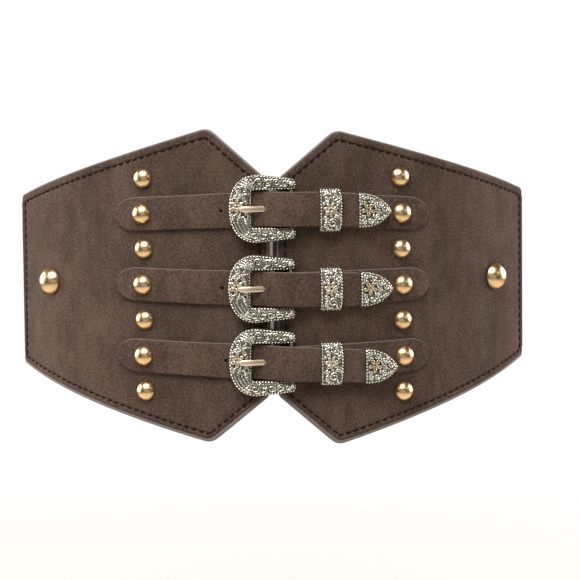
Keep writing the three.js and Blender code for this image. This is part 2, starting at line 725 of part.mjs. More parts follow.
// Domed stud: head, post and the cap behind the leather, turned about +Y
function studGeometry(radius, dome, seat) {
  const behind = -(PANEL_THICKNESS + CLEARANCE);
  const profile = [
    [0, behind - STUD_CAP_THICKNESS],
    [STUD_CAP_RADIUS, behind - STUD_CAP_THICKNESS],
    [STUD_CAP_RADIUS, behind],
    [POST_RADIUS, behind],
    [POST_RADIUS, seat],
    [radius, seat],
    [radius * 0.88, seat + dome * 0.56],
    [radius * 0.5, seat + dome * 0.9],
    [0, seat + dome],
  ].map(([x, y]) => new THREE.Vector2(x, y));
  return new THREE.LatheGeometry(profile, STUD_SIDES);
}

// Materials
const leather = new THREE.MeshStandardMaterial({ color: 0x5d4a3f, roughness: 0.85, metalness: 0 });
const elastic = new THREE.MeshStandardMaterial({ color: 0x2b2320, roughness: 0.95, metalness: 0 });
const steel = new THREE.MeshStandardMaterial({ color: 0xb9ab92, roughness: 0.35, metalness: 1 });
const antiqueSilver = new THREE.MeshStandardMaterial({ color: 0xc9bfa6, roughness: 0.35, metalness: 1 });
const paleGold = new THREE.MeshStandardMaterial({ color: 0xe3bd84, roughness: 0.18, metalness: 1 });

const belt = new THREE.Group();
belt.position.y = -loopDepth / 2;

function addPiece(name, geometry, material) {
  const mesh = new THREE.Mesh(geometry, material);
  mesh.name = name;
  belt.add(mesh);
  return mesh;
}

function addStuds(side, station, strapThickness) {
  const plainSeat = CLEARANCE;
  const strapSeat = LIE + strapThickness + CLEARANCE;
  studPlaces(station).forEach(({ s, z, onStrap }, i) => {
    const geometry = studGeometry(STUD_RADIUS, STUD_DOME, onStrap ? strapSeat : plainSeat);
    standOnBelt(addPiece(`stud_${side}_${i + 1}`, geometry, paleGold), s, z);
  });
}

addPiece('panel_left', panelGeometry('left'), leather);
addPiece('panel_right', panelGeometry('right'), leather);
addPiece('back_band', backBandGeometry(), elastic);
addPiece('centre_clasp', claspGeometry(), steel);
for (let index = 0; index < ROWS.length; index += 1) {
  const number = index + 1;
  addPiece(`tongue_strap_${number}`, tongueGeometry(index), leather);
  addPiece(`buckle_strap_${number}`, billetGeometry(index), leather);
  addPiece(`buckle_frame_${number}`, frameGeometry(index), antiqueSilver);
  addPiece(`prong_${number}`, prongGeometry(index), paleGold);
  addPiece(`keeper_${number}`, keeperGeometry(index), antiqueSilver);
  addPiece(`strap_tip_${number}`, tipGeometry(index), antiqueSilver);
}
addStuds('left', 'leftStud', TONGUE_THICKNESS);
addStuds('right', 'rightStud', BILLET_THICKNESS);
for (const [side, sign] of [['left', -1], ['right', 1]]) {
  const geometry = studGeometry(END_STUD_RADIUS, END_STUD_DOME, CLEARANCE);
  standOnBelt(addPiece(`end_stud_${side}`, geometry, paleGold), sign * END_STUD_PLACE, END_STUD_LIFT);
}

const part = new THREE.Group();
part.add(belt);

export default part;
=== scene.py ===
# %% [markdown]
# # A corset belt with three western buckles
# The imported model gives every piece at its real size. This lesson dresses it: the leather gets its turned
# and stitched edge, the cast metal its raised scrolls, and every surface a material worked out from what
# the real one is. Lengths are in millimetres, as a belt maker would measure them, until a mesh is written.

import math

import bpy
import numpy as np
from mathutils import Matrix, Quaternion, Vector
from mathutils.bvhtree import BVHTree
from mathutils.geometry import convex_hull_2d
from mathutils.kdtree import KDTree


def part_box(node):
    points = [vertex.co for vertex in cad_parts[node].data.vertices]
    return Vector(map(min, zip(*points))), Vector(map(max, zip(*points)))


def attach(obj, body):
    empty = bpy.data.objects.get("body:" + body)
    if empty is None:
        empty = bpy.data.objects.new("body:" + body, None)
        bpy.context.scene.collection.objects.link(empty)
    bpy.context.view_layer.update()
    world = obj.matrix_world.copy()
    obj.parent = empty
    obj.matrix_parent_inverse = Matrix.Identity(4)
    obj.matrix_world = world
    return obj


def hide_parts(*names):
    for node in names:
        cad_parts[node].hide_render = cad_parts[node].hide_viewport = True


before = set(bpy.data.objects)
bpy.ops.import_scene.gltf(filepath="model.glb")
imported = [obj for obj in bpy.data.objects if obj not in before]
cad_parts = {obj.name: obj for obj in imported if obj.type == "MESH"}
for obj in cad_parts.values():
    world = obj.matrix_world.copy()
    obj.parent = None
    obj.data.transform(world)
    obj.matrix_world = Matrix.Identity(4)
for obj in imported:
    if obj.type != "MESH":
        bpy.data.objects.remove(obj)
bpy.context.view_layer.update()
MM = 0.001

# %% [markdown]
# ## A flat pattern for a curved belt
# A maker cuts a belt flat and then bends it. The same trick helps here: each point gets a place s along the
# front's outer face, a height z, and a level n outside that face. One function bends flat points round the
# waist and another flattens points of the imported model, so pieces can be drawn and measured on the flat.

# %% Bend and flatten
FRONT_RADIUS = 188
FRONT_ARC = 110
SIDE_RADIUS = 160
FRONT_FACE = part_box("back_band")[1].y / MM
TURN = FRONT_ARC / FRONT_RADIUS
OFFSET = FRONT_RADIUS - SIDE_RADIUS


def table(*values):
    """Values side by side as the columns of a table; a single number fills its column."""
    return np.stack(np.broadcast_arrays(*values), -1)


def place(s, n, z):
    """Points in metres, from places along the face, levels and heights in millimetres."""
    s, n, z = np.broadcast_arrays(np.asarray(s, float), n, z)
    side, along = np.where(s < 0, -1, 1), np.abs(s)
    front = np.minimum(along, FRONT_ARC) / FRONT_RADIUS
    angle = front + np.maximum(along - FRONT_ARC, 0) / SIDE_RADIUS
    x = OFFSET * np.sin(front) + (SIDE_RADIUS + n) * np.sin(angle)
    y = FRONT_RADIUS - OFFSET * np.cos(front) - (SIDE_RADIUS + n) * np.cos(angle) - FRONT_FACE
    return table(side * x, y, z) * MM


def flatten(points):
    """Places s, n, z in millimetres of points in metres."""
    x, y, z = (np.asarray(points, float) / MM).T
    along, depth = np.abs(x), FRONT_RADIUS - (y + FRONT_FACE)
    angle = np.arctan2(along, depth)
    beyond = np.arctan2(along - OFFSET * math.sin(TURN), depth - OFFSET * math.cos(TURN))
    s = np.where(angle < TURN, FRONT_RADIUS * angle, FRONT_ARC + SIDE_RADIUS * (beyond - TURN))
    side_reach = np.hypot(along - OFFSET * math.sin(TURN), depth - OFFSET * math.cos(TURN))
    n = np.where(angle < TURN, np.hypot(along, depth) - FRONT_RADIUS, side_reach - SIDE_RADIUS)
    return table(np.sign(x) * s, n, z)


def flat_box(name):
    """Lowest and highest s, n, z of a CAD node."""
    flat = flatten([v.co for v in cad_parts[name].data.vertices])
    return flat.min(0), flat.max(0)


print("keeper 2 on the flat:", [np.round(corner, 1).tolist() for corner in flat_box("keeper_2")])

# %% [markdown]
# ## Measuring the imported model
# A ray shot straight at a CAD solid says how far out its face lies. A row of such rays along a strap gives
# the strap's middle line, its width and its level, so the smooth strap drawn later sits where the solid is.

# %% Rays onto a solid
RAY_STEP = 0.5
RAY_START = 30
SCAN_STEP = 1.5
trees = {}


def outer_level(name, s, z):
    """Level of a node's outer face at s, z, or None where the ray misses."""
    if name not in trees:
        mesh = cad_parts[name].data
        trees[name] = BVHTree.FromPolygons(
            [v.co for v in mesh.vertices], [p.vertices for p in mesh.polygons])
    start, end = Vector(place(s, RAY_START, z)), Vector(place(s, 0, z))
    found = trees[name].ray_cast(start, (end - start).normalized())
    return None if found[0] is None else RAY_START - found[3] / MM


def scan_strap(name, step=SCAN_STEP):
    """Table of s, middle height, half width and outer level along a strap."""
    low, high = flat_box(name)
    heights = np.arange(low[2] + 0.1, high[2], RAY_STEP)
    rows = []
    for s in np.arange(low[0] + 0.3, high[0] - 0.2, step):
        hits = [(z, outer_level(name, s, z)) for z in heights]
        hits = np.array([(z, level) for z, level in hits if level is not None])
        if len(hits) > 3:
            rows.append((s, hits[[0, -1], 0].mean(), np.ptp(hits[:, 0]) / 2, np.median(hits[:, 1])))
    return np.array(rows).T


def soften(values, reach):
    """Moving average over reach values on each side, steady at the ends."""
    padded = np.concatenate([np.full(reach, values[0]), values, np.full(reach, values[-1])])
    return np.convolve(padded, np.full(2 * reach + 1, 1 / (2 * reach + 1)), "valid")


# %% [markdown]
# ## Meshes from grids
# Almost every piece here is a grid of points that is bent, so one builder of faces is enough. It closes the
# grid round its columns for a tube, and round its rows too for a ring such as a keeper. Each vertex keeps its
# flat place in an attribute, and the materials draw their grain on that, so it runs on round the curve
# without stretching.

# %% Mesh builders
def grid_faces(rows, columns, start=0, wrap=False, ring=False):
    """Four-sided faces of a grid of vertices, closed round its columns by wrap and round its rows by ring."""
    i, j = np.meshgrid(
        np.arange(rows if ring else rows - 1), np.arange(columns if wrap else columns - 1), indexing="ij")
    below, after = (i + 1) % rows, (j + 1) % columns
    corners = table(i * columns + j, i * columns + after, below * columns + after, below * columns + j)
    return (corners.reshape(-1, 4) + start).tolist()


def sheet_faces(rows, columns):
    """A front grid and a back grid of the same size, joined round their border."""
    size = rows * columns
    border = [(0, j) for j in range(columns)] + [(i, columns - 1) for i in range(1, rows)]
    border += [(rows - 1, j) for j in range(columns - 2, -1, -1)] + [(i, 0) for i in range(rows - 2, 0, -1)]
    loop = [i * columns + j for i, j in border]
    rim = [[b, a, a + size, b + size] for a, b in zip(loop, loop[1:] + loop[:1])]
    back = [face[::-1] for face in grid_faces(rows, columns, size)]
    return grid_faces(rows, columns) + back + rim


def tube_faces(rings, count, start=0):
    """Rings of points joined into a tube with both ends closed."""
    first, last = start, start + (rings - 1) * count
    ends = [list(range(first, first + count))[::-1], list(range(last, last + count))]
    return grid_faces(rings, count, start, wrap=True) + ends


def keep_flat(mesh, flat):
    """Write each vertex's flat place for the materials."""
    attribute = mesh.attributes.get("flat") or mesh.attributes.new("flat", "FLOAT_VECTOR", "POINT")
    attribute.data.foreach_set("vector", flat.astype("f").ravel())


def make_piece(name, flat, faces, material, slot, replaced=(), marks=None, sharp=50):
    """Mesh object from flat places s, n, z, riding on the belt."""
    mesh = bpy.data.meshes.new(name)
    mesh.from_pydata(place(flat[:, 0], flat[:, 1], flat[:, 2]).tolist(), [], faces)
    keep_flat(mesh, flat)
    for mark, values in (marks or {}).items():
        attribute = mesh.attributes.new(mark, "FLOAT", "POINT")
        attribute.data.foreach_set("value", np.asarray(values, "f").ravel())
    mesh.materials.append(material)
    mesh.validate()
    mesh.shade_smooth()
    mesh.set_sharp_from_angle(angle=math.radians(sharp))
    piece = bpy.data.objects.new(name, mesh)
    bpy.context.scene.collection.objects.link(piece)
    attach(piece, "root")
    if replaced:
        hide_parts(*replaced)
    return piece


def make_tube(name, rings, *rest, **settings):
    """Piece from rings of flat points, closed at both ends; the rest is as for make_piece."""
    return make_piece(name, rings.reshape(-1, 3), tube_faces(*rings.shape[:2]), *rest, **settings)


# %% [markdown]
# ## Lines that follow an outline
# Stitches and beaded borders both keep a steady distance from an edge. The outline is walked in small steps,
# each step moves inwards by that distance, and points that end up too near another edge are dropped, which
# turns every corner by itself.

# %% Outline helpers
def walk(line, step):
    """Evenly spaced points along a closed line of corners."""
    corners = np.vstack([line, line[:1]])
    lengths = np.concatenate([[0], np.cumsum(np.hypot(*np.diff(corners, axis=0).T))])
    count = max(2, round(lengths[-1] / step))
    at = np.linspace(0, lengths[-1], count, endpoint=False)
    return table(*[np.interp(at, lengths, column) for column in corners.T])


def nearest_side(points, line):
    """Distance of each point to a closed line of corners, and which of its sides is nearest."""
    a, b = np.asarray(line, float), np.roll(line, -1, 0)
    best, side = np.full(len(points), 1e9), np.zeros(len(points), int)
    for number, (start, step) in enumerate(zip(a, b - a)):
        share = np.clip((points - start) @ step / max(step @ step, 1e-9), 0, 1)
        distance = np.hypot(*(points - start - share[:, None] * step).T)
        side = np.where(distance < best, number, side)
        best = np.minimum(best, distance)
    return best, side


def inset_line(line, inset, step):
    """Points spaced by a step on a line that keeps inside a closed outline."""
    area = (line[:, 0] * np.roll(line[:, 1], -1) - line[:, 1] * np.roll(line[:, 0], -1)).sum()
    dense = walk(line if area > 0 else line[::-1], 0.25)
    ahead = np.roll(dense, -2, 0) - np.roll(dense, 2, 0)
    normal = table(-ahead[:, 1], ahead[:, 0]) / np.hypot(*ahead.T)[:, None]
    moved = dense + inset * normal
    kept = moved[nearest_side(moved, line)[0] > inset * 0.985]
    return walk(kept, step)


def headings(points):
    """Unit direction of travel at each point of a closed line."""
    ahead = np.roll(points, -1, 0) - np.roll(points, 1, 0)
    return ahead / np.hypot(*ahead.T)[:, None]


# %% [markdown]
# ## Materials
# One function turns sRGB hex colours into the linear values that shaders work in, and one adds a node with
# its settings and links. Everything else is written out per material, from what the real surface is. Every
# pattern is drawn on the vertices' flat places, so its scale is one over its real size in millimetres.

# %% Material helpers
def linear(code, alpha=1.0):
    """Linear colour from an sRGB hex code such as 5d4a3f."""
    parts = [int(code[i:i + 2], 16) / 255 for i in (0, 2, 4)]
    return (*[c / 12.92 if c <= 0.04045 else ((c + 0.055) / 1.055) ** 2.4 for c in parts], alpha)


def add_node(tree, kind, inputs=None, stops=(), **settings):
    """Shader node with its settings and links. An input is a value, a socket, or a node whose first output
    is linked; stops are the rising positions and the hex colours of a colour ramp."""
    made = tree.nodes.new("ShaderNode" + kind)
    for name, value in settings.items():
        setattr(made, name, value)
    for number, (position, code) in enumerate(stops):
        elements = made.color_ramp.elements
        element = elements[number] if number < 2 else elements.new(position)
        element.position, element.color = position, linear(code)
    for name, value in (inputs or {}).items():
        if isinstance(value, bpy.types.Node):
            value = value.outputs[0]
        if isinstance(value, bpy.types.NodeSocket):
            tree.links.new(value, made.inputs[name])
        else:
            made.inputs[name].default_value = value
    return made


def new_material(name):
    """Empty node material and its tree."""
    material = bpy.data.materials.new(name)
    material.use_nodes = True
    tree = material.node_tree
    tree.nodes.clear()
    return material, tree


# %% [markdown]
# ### Nubuck
# The panels and straps look like nubuck: leather, or a good imitation, buffed to a short nap. The nap lies in
# soft clouds that catch the light differently, and broad upright bands lean to mauve or to olive. So the
# tone comes from clouds of 26 mm, streaks of 7 mm and a grain of 1.2 mm, and the hue from bands 22 mm wide.
# The real nap is finer than 0.2 mm, which wouldn't show from here, so the grain is drawn coarser. It has
# hardly any gloss. The panels' turned edges are rubbed paler. The straps' upper outer edges get a paler painted
# highlight, as if lit from above, and the panels' borders at the belt's ends get painted shade. The vertices
# know how far they are from an edge.

# %% Nubuck material
# Each layer of the nap: size in mm, stretch along and up the belt, seed, detail and its share of the tone
NAP = {
    "clouds": (26, 0.9, 1.5, 0.3, 2, 0.25), "streaks": (7, 0.7, 1.6, 3.7, 2, 0.15),
    "grain": (1.2, 1.0, 1.0, 0.0, 3, 0.6), "bands": (22, 0.6, 3.0, 5.4, 2, 0.0)}
TONE_STOPS = (0.42, 0.5, 0.58)
# painted shade colour for the panels' borders outside the seam at the belt's ends
END_SHADE_COLOUR = "3b2c28"


def nubuck(name, olive, mauve, seed, rubbed_and_highlight):
    """Buffed leather from dark, middle and light tones of olive and of mauve brown, and a pale edge colour:
    rubbed paler on the panels' rims and a painted highlight on the straps' top edges.
    """
    material, tree = new_material(name)
    flat = add_node(tree, "Attribute", attribute_name="flat").outputs["Vector"]
    nap, tone = {}, 0.0
    for layer, (size, along, up, shift, detail, weight) in NAP.items():
        scaled = add_node(tree, "Mapping", {
            "Vector": flat, "Scale": (1 / (size * along), 1 / size, 1 / (size * up))})
        nap[layer] = add_node(tree, "TexNoise", {
            "Vector": scaled, "W": seed + shift, "Scale": 1, "Detail": detail, "Roughness": 0.6},
            noise_dimensions="4D")
        if weight:
            tone = add_node(tree, "Math", {0: nap[layer], 1: weight, 2: tone}, operation="MULTIPLY_ADD")
    hue = add_node(tree, "MapRange", {"Value": nap["bands"], "From Min": 0.35, "From Max": 0.65})
    olive_brown = add_node(tree, "ValToRGB", {"Fac": tone}, zip(TONE_STOPS, olive))
    mauve_brown = add_node(tree, "ValToRGB", {"Fac": tone}, zip(TONE_STOPS, mauve))
    colour = add_node(tree, "MixRGB", {"Fac": hue, "Color1": olive_brown, "Color2": mauve_brown})
    edge = add_node(tree, "Attribute", attribute_name="edge").outputs["Fac"]
    # pale edge: rubbed on the panels' rims, a painted highlight on the straps' top edges
    wear_and_highlight = add_node(tree, "MapRange", {"Value": edge, "From Min": 1.1, "From Max": 0.7})
    colour = add_node(tree, "MixRGB", {"Fac": wear_and_highlight, "Color1": colour, "Color2": linear(rubbed_and_highlight)})
    # painted shade: the panels' borders at the belt's ends are darkened
    end_shade = add_node(tree, "Attribute", attribute_name="end_shade").outputs["Fac"]
    colour = add_node(tree, "MixRGB", {"Fac": end_shade, "Color1": colour, "Color2": linear(END_SHADE_COLOUR)})
    bump = add_node(tree, "Bump", {"Height": nap["grain"], "Distance": 0.3 * MM, "Strength": 0.5})
    shader = add_node(tree, "BsdfPrincipled", {
        "Base Color": colour, "Roughness": 0.9, "IOR": 1.5, "Specular IOR Level": 0.12, "Normal": bump})
    add_node(tree, "OutputMaterial", {"Surface": shader})
    return material


panel_nubuck = nubuck("nubuck brushed panels", ["443730", "55453a", "685548"], ["46362f", "59453c", "6b5549"],
                      1.0, "877c76")
# the straps' pale edge colour is a painted highlight on their top edges
strap_nubuck = nubuck("nubuck brushed straps", ["473932", "58473d", "6b574a"], ["493932", "5b473f", "6d574c"],
                      7.0, "73645a")
print("leather materials:", panel_nubuck.name, "and", strap_nubuck.name)

# %% [markdown]
# ### Twisted thread
# The seam is sewn with dark brown polyester thread. It is twisted, so it gets fine slanted ridges, and its
# loose fibres scatter light, so it stays matt and nearly black.

# %% Thread material
TWIST = 0.5
thread, tree = new_material("polyester twisted thread")
flat = add_node(tree, "Attribute", attribute_name="flat").outputs["Vector"]
twist = add_node(tree, "TexWave", {"Vector": flat, "Scale": 1 / TWIST, "Distortion": 0.5},
                 bands_direction="DIAGONAL")
shader = add_node(tree, "BsdfPrincipled", {
    "Base Color": add_node(tree, "ValToRGB", {"Fac": twist}, [(0.0, "1e0d08"), (1.0, "3a1c12")]),
    "Roughness": 0.85, "IOR": 1.5, "Specular IOR Level": 0.2,
    "Normal": add_node(tree, "Bump", {"Height": twist, "Distance": 0.1 * MM})})
add_node(tree, "OutputMaterial", {"Surface": shader})
print(thread.name, "has", len(tree.nodes), "nodes")

# %% [markdown]
# ### Antiqued silver
# The frames, keepers and tips are cast zinc alloy, plated a pale silver, dipped in dark patina and wiped.
# Wiping leaves the patina in every hollow, so each vertex of the cast pieces keeps how high its relief is,
# and that height drives colour, metal and gloss together. A second attribute warms the flowers to gold.

# %% Antiqued silver material
TARNISH_SIZE = 2.5
antique, tree = new_material("zinc alloy antiqued silver")
flat = add_node(tree, "Attribute", attribute_name="flat").outputs["Vector"]
scaled = add_node(tree, "Mapping", {"Vector": flat, "Scale": (1 / TARNISH_SIZE,) * 3})
tarnish = add_node(tree, "TexNoise", {
    "Vector": scaled, "W": 2.0, "Scale": 1, "Detail": 3, "Roughness": 0.6}, noise_dimensions="4D")
relief = add_node(tree, "Attribute", attribute_name="relief").outputs["Fac"]
height = add_node(tree, "Math", {0: tarnish, 1: 0.3, 2: relief}, operation="MULTIPLY_ADD")
silver = add_node(tree, "ValToRGB", {"Fac": height}, [
    (0.28, "17130c"), (0.47, "989079"), (0.66, "dcd5c2"), (0.95, "f8f3e6")])
gold = add_node(tree, "ValToRGB", {"Fac": height}, [
    (0.27, "2a1f12"), (0.47, "a08a66"), (0.7, "dfc79c"), (0.98, "f6e6c4")])
gilt = add_node(tree, "Attribute", attribute_name="gold").outputs["Fac"]
shader = add_node(tree, "BsdfPrincipled", {
    "Base Color": add_node(tree, "MixRGB", {"Fac": gilt, "Color1": silver, "Color2": gold}),
    "Metallic": add_node(tree, "MapRange", {"Value": height, "From Min": 0.25, "From Max": 0.5}),
    "Roughness": add_node(tree, "MapRange", {
        "Value": height, "From Min": 0.3, "From Max": 0.9, "To Min": 0.6, "To Max": 0.27})})
add_node(tree, "OutputMaterial", {"Surface": shader})
print(antique.name, "has", len(tree.nodes), "nodes")

# %% [markdown]
# ### Polished gold plate
# Studs and prongs are brass, polished and then plated pale gold. Polished metal is nearly all reflection:
# faint scratches blur it, more on the prongs, and the colour only tints what it mirrors.

# %% Gold plate material
HAZE_SIZE = 1.6


def gold_plate(name, code, roughness):
    """Polished plated metal with a faint haze."""
    material, tree = new_material(name)
    flat = add_node(tree, "Attribute", attribute_name="flat").outputs["Vector"]
    haze = add_node(tree, "TexNoise", {"Vector": flat, "Scale": 1 / HAZE_SIZE, "Detail": 3})
    shader = add_node(tree, "BsdfPrincipled", {
        "Base Color": linear(code), "Metallic": 1.0,
        "Roughness": add_node(tree, "MapRange", {
            "Value": haze, "To Min": roughness * 0.7, "To Max": roughness * 1.4}),
        "Normal": add_node(tree, "Bump", {"Height": haze, "Distance": 0.02 * MM, "Strength": 0.3})})
    add_node(tree, "OutputMaterial", {"Surface": shader})
    return material


stud_gold = gold_plate("brass gold plated studs", "f8cf99", 0.3)
prong_gold = gold_plate("brass pale gold prongs", "ffe8cb", 0.42)
print("plated materials:", stud_gold.name, "and", prong_gold.name)

# %% [markdown]
# ### Clasp strip
# The strip that joins the panels is antiqued too. Its flat part lies in the gap between the panels, and its
# dark colour is both the patina left on and painted shade of that gap. Only the raised rib was wiped bright, so
# the level outside the panels' face drives the colour.

# %% Clasp material
RIB_FOOT, RIB_TOP = -2.4, -1.6
clasp_patina_and_shade, tree = new_material("steel antiqued strip")
flat = add_node(tree, "Attribute", attribute_name="flat").outputs["Vector"]
level = add_node(tree, "SeparateXYZ", {"Vector": flat}).outputs["Y"]
raised = add_node(tree, "MapRange", {"Value": level, "From Min": RIB_FOOT, "From Max": RIB_TOP})
# the dark stop is patina and painted shade of the gap between the panels; the rib stop is wiped metal
shader = add_node(tree, "BsdfPrincipled", {
    "Base Color": add_node(tree, "ValToRGB", {"Fac": raised}, [(0.0, "5c4a40"), (0.6, "d8ccb4")]),
    "Metallic": raised, "Roughness": 0.36})
add_node(tree, "OutputMaterial", {"Surface": shader})
print(clasp_patina_and_shade.name, "has", len(tree.nodes), "nodes")

# %% [markdown]
# ### Ribbed elastic
# The back is woven elastic: rubber cores covered in polyester, with ribs across the band every 2.4 mm and a
# firm flat edge. The ribs are modelled, and the weave on them is a fine wave drawn at 0.8 mm, coarser than
# the real yarn so that it shows.

# %% Elastic material
YARN = 0.8
elastic, tree = new_material("polyester ribbed elastic")
flat = add_node(tree, "Attribute", attribute_name="flat").outputs["Vector"]
weft, warp = [add_node(tree, "TexWave", {"Vector": flat, "Scale": 1 / YARN, "Distortion": 0.3},
                       bands_direction=way).outputs["Fac"] for way in ("Z", "X")]
weave = add_node(tree, "Math", {0: weft, 1: warp}, operation="MULTIPLY")
shader = add_node(tree, "BsdfPrincipled", {
    "Base Color": add_node(tree, "ValToRGB", {"Fac": weave}, [(0.0, "231b18"), (1.0, "43362f")]),
    "Roughness": 0.88, "IOR": 1.5, "Sheen Weight": 0.2,
    "Normal": add_node(tree, "Bump", {"Height": weave, "Distance": 0.15 * MM, "Strength": 0.6})})
add_node(tree, "OutputMaterial", {"Surface": shader})
print("materials made:", len(bpy.data.materials))

# %% [markdown]
# ## Front panels
# Each panel is two layers of leather turned over at the edge, glued, pressed and sewn 5 mm in. Pressing
# leaves a slightly plump border outside the seam and a small ditch under it. A flat board with a bevel would
# miss both, so a fine grid is laid inside the panel's outline and every point's level comes from its distance
# to the edge. Rivets pull the leather down a little, so it also dips round each stud.

# %% Panel builder
PANEL_THICKNESS = 2.4
EDGE_ROUND = 1.2
SEAM_INSET = 5.2
SIDE_RIM = 0.9
CENTRE_RIM = 0.7
LOWER_RIM = 1.1
RIM_GROOVE = {"depth": 0.3, "width": 0.28}
PLUMPNESS = 0.25
SEAM_DITCH = {"depth": 0.35, "width": 0.5}
STUD_DIMPLE = {"depth": 0.35, "reach": 1.1}
BACK_ROUND = 0.5
CORE_ROWS, CORE_COLUMNS = 66, 96
SLIVER = 0.03
# Distances from the edge at which the grid has lines: close together on the rim and at the seam
NEAR_EDGE = np.array([
    0, 0.08, 0.2, *np.arange(0.4, 2.5, 0.25), 2.8, 3.4, 4, 4.5, 4.8, 5, 5.2, 5.4, 5.6, 6, 6.8, 8])


def outline_of(name):
    """Anticlockwise convex outline of a node on the flat, as s, z."""
    flat = flatten([v.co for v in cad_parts[name].data.vertices])[:, [0, 2]]
    return flat[convex_hull_2d(flat.tolist())]


def chord(outline, base, slant):
    """Lowest and highest z where the line through s = base, leaning by slant, crosses the outline."""
    a, step = outline, np.roll(outline, -1, 0) - outline
    inward = table(-step[:, 1], step[:, 0])
    facing = inward @ [slant, 1]
    offset = (inward * (a - [base, 0])).sum(1)
    with np.errstate(divide="ignore", invalid="ignore"):
        crossing = offset / facing
    return crossing[facing > 1e-9].max(), crossing[facing < -1e-9].min()


def rim_width(side, outline, inner):
    """Width of the turned rim at each point, wider on the sides that face the middle or down, and which
    points lie nearest the belt's end."""
    step = np.roll(outline, -1, 0) - outline
    outward = table(step[:, 1], -step[:, 0]) / np.maximum(np.hypot(*step.T), 1e-9)[:, None]
    wide = SIDE_RIM + CENTRE_RIM * np.clip(-inner * outward[:, 0], 0, 1)
    wide += LOWER_RIM * np.clip(-outward[:, 1] * 1.5, 0, 1)
    return wide[side], (inner * outward[:, 0] > 0.9)[side]


def panel_levels(distance, rim, points, studs):
    """Level of the front face from the distance to the edge and to the studs."""
    level = np.sqrt(np.maximum(EDGE_ROUND ** 2 - np.maximum(EDGE_ROUND - distance, 0) ** 2, 0)) - EDGE_ROUND
    level -= RIM_GROOVE["depth"] * np.exp(-((distance - rim) / RIM_GROOVE["width"]) ** 2)
    rising, falling = (distance - rim) / 0.9, (SEAM_INSET - 0.1 - distance) / 1.2
    level += PLUMPNESS * np.clip(rising, 0, 1) * np.clip(falling, 0, 1)
    level -= SEAM_DITCH["depth"] * np.exp(-((distance - SEAM_INSET) / SEAM_DITCH["width"]) ** 2)
    for (s, z), radius in studs:
        away = np.hypot(points[:, 0] - s, points[:, 1] - z) - radius
        level -= STUD_DIMPLE["depth"] * np.exp(-(np.maximum(away, 0) / STUD_DIMPLE["reach"]) ** 2)
    return level


def stud_spots(names):
    """Middle and radius on the flat of some studs."""
    boxes = [flat_box(name) for name in names]
    return [(((low + high) / 2)[[0, 2]], (high - low)[2] / 2) for low, high in boxes]


def build_panel(side):
    """Front panel as a fine grid of leaning columns, with the distance to its edge kept for the material."""
    node = f"panel_{side}"
    outline = outline_of(node)
    low, high = outline[:, 0].min(), outline[:, 0].max()
    inner, outer = (high, low) if side == "left" else (low, high)
    rim = outline[np.abs(outline[:, 0] - outer) < 2.5]
    upper, lower = rim[rim[:, 1].argmax()], rim[rim[:, 1].argmin()]
    slant = (upper[0] - lower[0]) / (upper[1] - lower[1])
    middle = (upper[0] + lower[0]) / 2 if abs(slant) > 1e-6 else outer
    width = abs(middle - inner) - 2 * SLIVER
    inside = np.linspace(NEAR_EDGE[-1], width - NEAR_EDGE[-1], CORE_COLUMNS)[1:-1]
    shares = np.concatenate([NEAR_EDGE, inside, width - NEAR_EDGE[::-1]]) / width
    columns = []
    for share in shares:
        base = inner + (middle - inner) * (SLIVER / width + share * (1 - 2 * SLIVER / width))
        lean = slant * share
        bottom, top = chord(outline, base, lean)
        core = np.linspace(bottom + NEAR_EDGE[-1], top - NEAR_EDGE[-1], CORE_ROWS)[1:-1]
        z = np.concatenate([bottom + NEAR_EDGE, core, top - NEAR_EDGE[::-1]])
        columns.append(table(base + lean * z, z))
    flat = np.array(columns)
    rows, count = flat.shape[:2]
    points = flat.reshape(-1, 2)
    distance, side_number = nearest_side(points, outline)
    rim, at_end = rim_width(side_number, outline, -1 if side == "left" else 1)
    # painted shade on the border outside the seam at the belt's ends
    end_shade = at_end * np.clip((SEAM_INSET - 0.5 - distance) / 0.5, 0, 0.75)
    studs = stud_spots([f"stud_{side}_{i}" for i in (1, 3, 5, 7)] + [f"end_stud_{side}"])
    front = panel_levels(distance, rim, points, studs)
    back = BACK_ROUND - PANEL_THICKNESS - np.sqrt(
        np.clip(BACK_ROUND ** 2 - np.maximum(BACK_ROUND - distance, 0) ** 2, 0, 1))
    flat = np.vstack([table(points[:, 0], level, points[:, 1]) for level in (front, back)])
    faces = sheet_faces(rows, count)
    if side == "right":
        faces = [face[::-1] for face in faces]
    return make_piece(f"nubuck_panel_{side}", flat, faces, panel_nubuck, "panel_leather",
                      [node], {"edge": np.tile(distance / rim + at_end, 2), "end_shade": np.tile(end_shade, 2)})


for side in ("left", "right"):
    panel = build_panel(side)
    print(panel.name, "faces:", len(panel.data.polygons))

# %% [markdown]
# ## Seams
# A lockstitch shows as a row of short threads, each dipping into its hole. One stitch is a small tapered
# tube, and copies of it are laid along the seam line, a little slanted as saddle stitches are.

# %% Stitches
STITCH_PITCH = 4.8
STITCH_LENGTH = 3.4
THREAD_RADIUS = 0.52
STITCH_SLANT = 0.13
SEAM_LEVEL = -0.12


def stitch_rings(middle, heading, level):
    """Flat points of one stitch: rings along a shallow arch."""
    slanted = heading * math.cos(STITCH_SLANT) + np.array([-heading[1], heading[0]]) * math.sin(STITCH_SLANT)
    across = np.array([-slanted[1], slanted[0]])
    rings = []
    for share in np.linspace(-1, 1, 7):
        thick = THREAD_RADIUS * (0.45 + 0.55 * math.sqrt(max(0, 1 - share ** 4)))
        lift = level + 0.18 * (1 - share ** 2) - 0.12 * abs(share) ** 3
        for turn in np.arange(8) * math.pi / 4:
            spot = middle + slanted * share * STITCH_LENGTH / 2 + across * thick * math.cos(turn)
            rings.append([spot[0], lift + thick * math.sin(turn), spot[1]])
    return rings


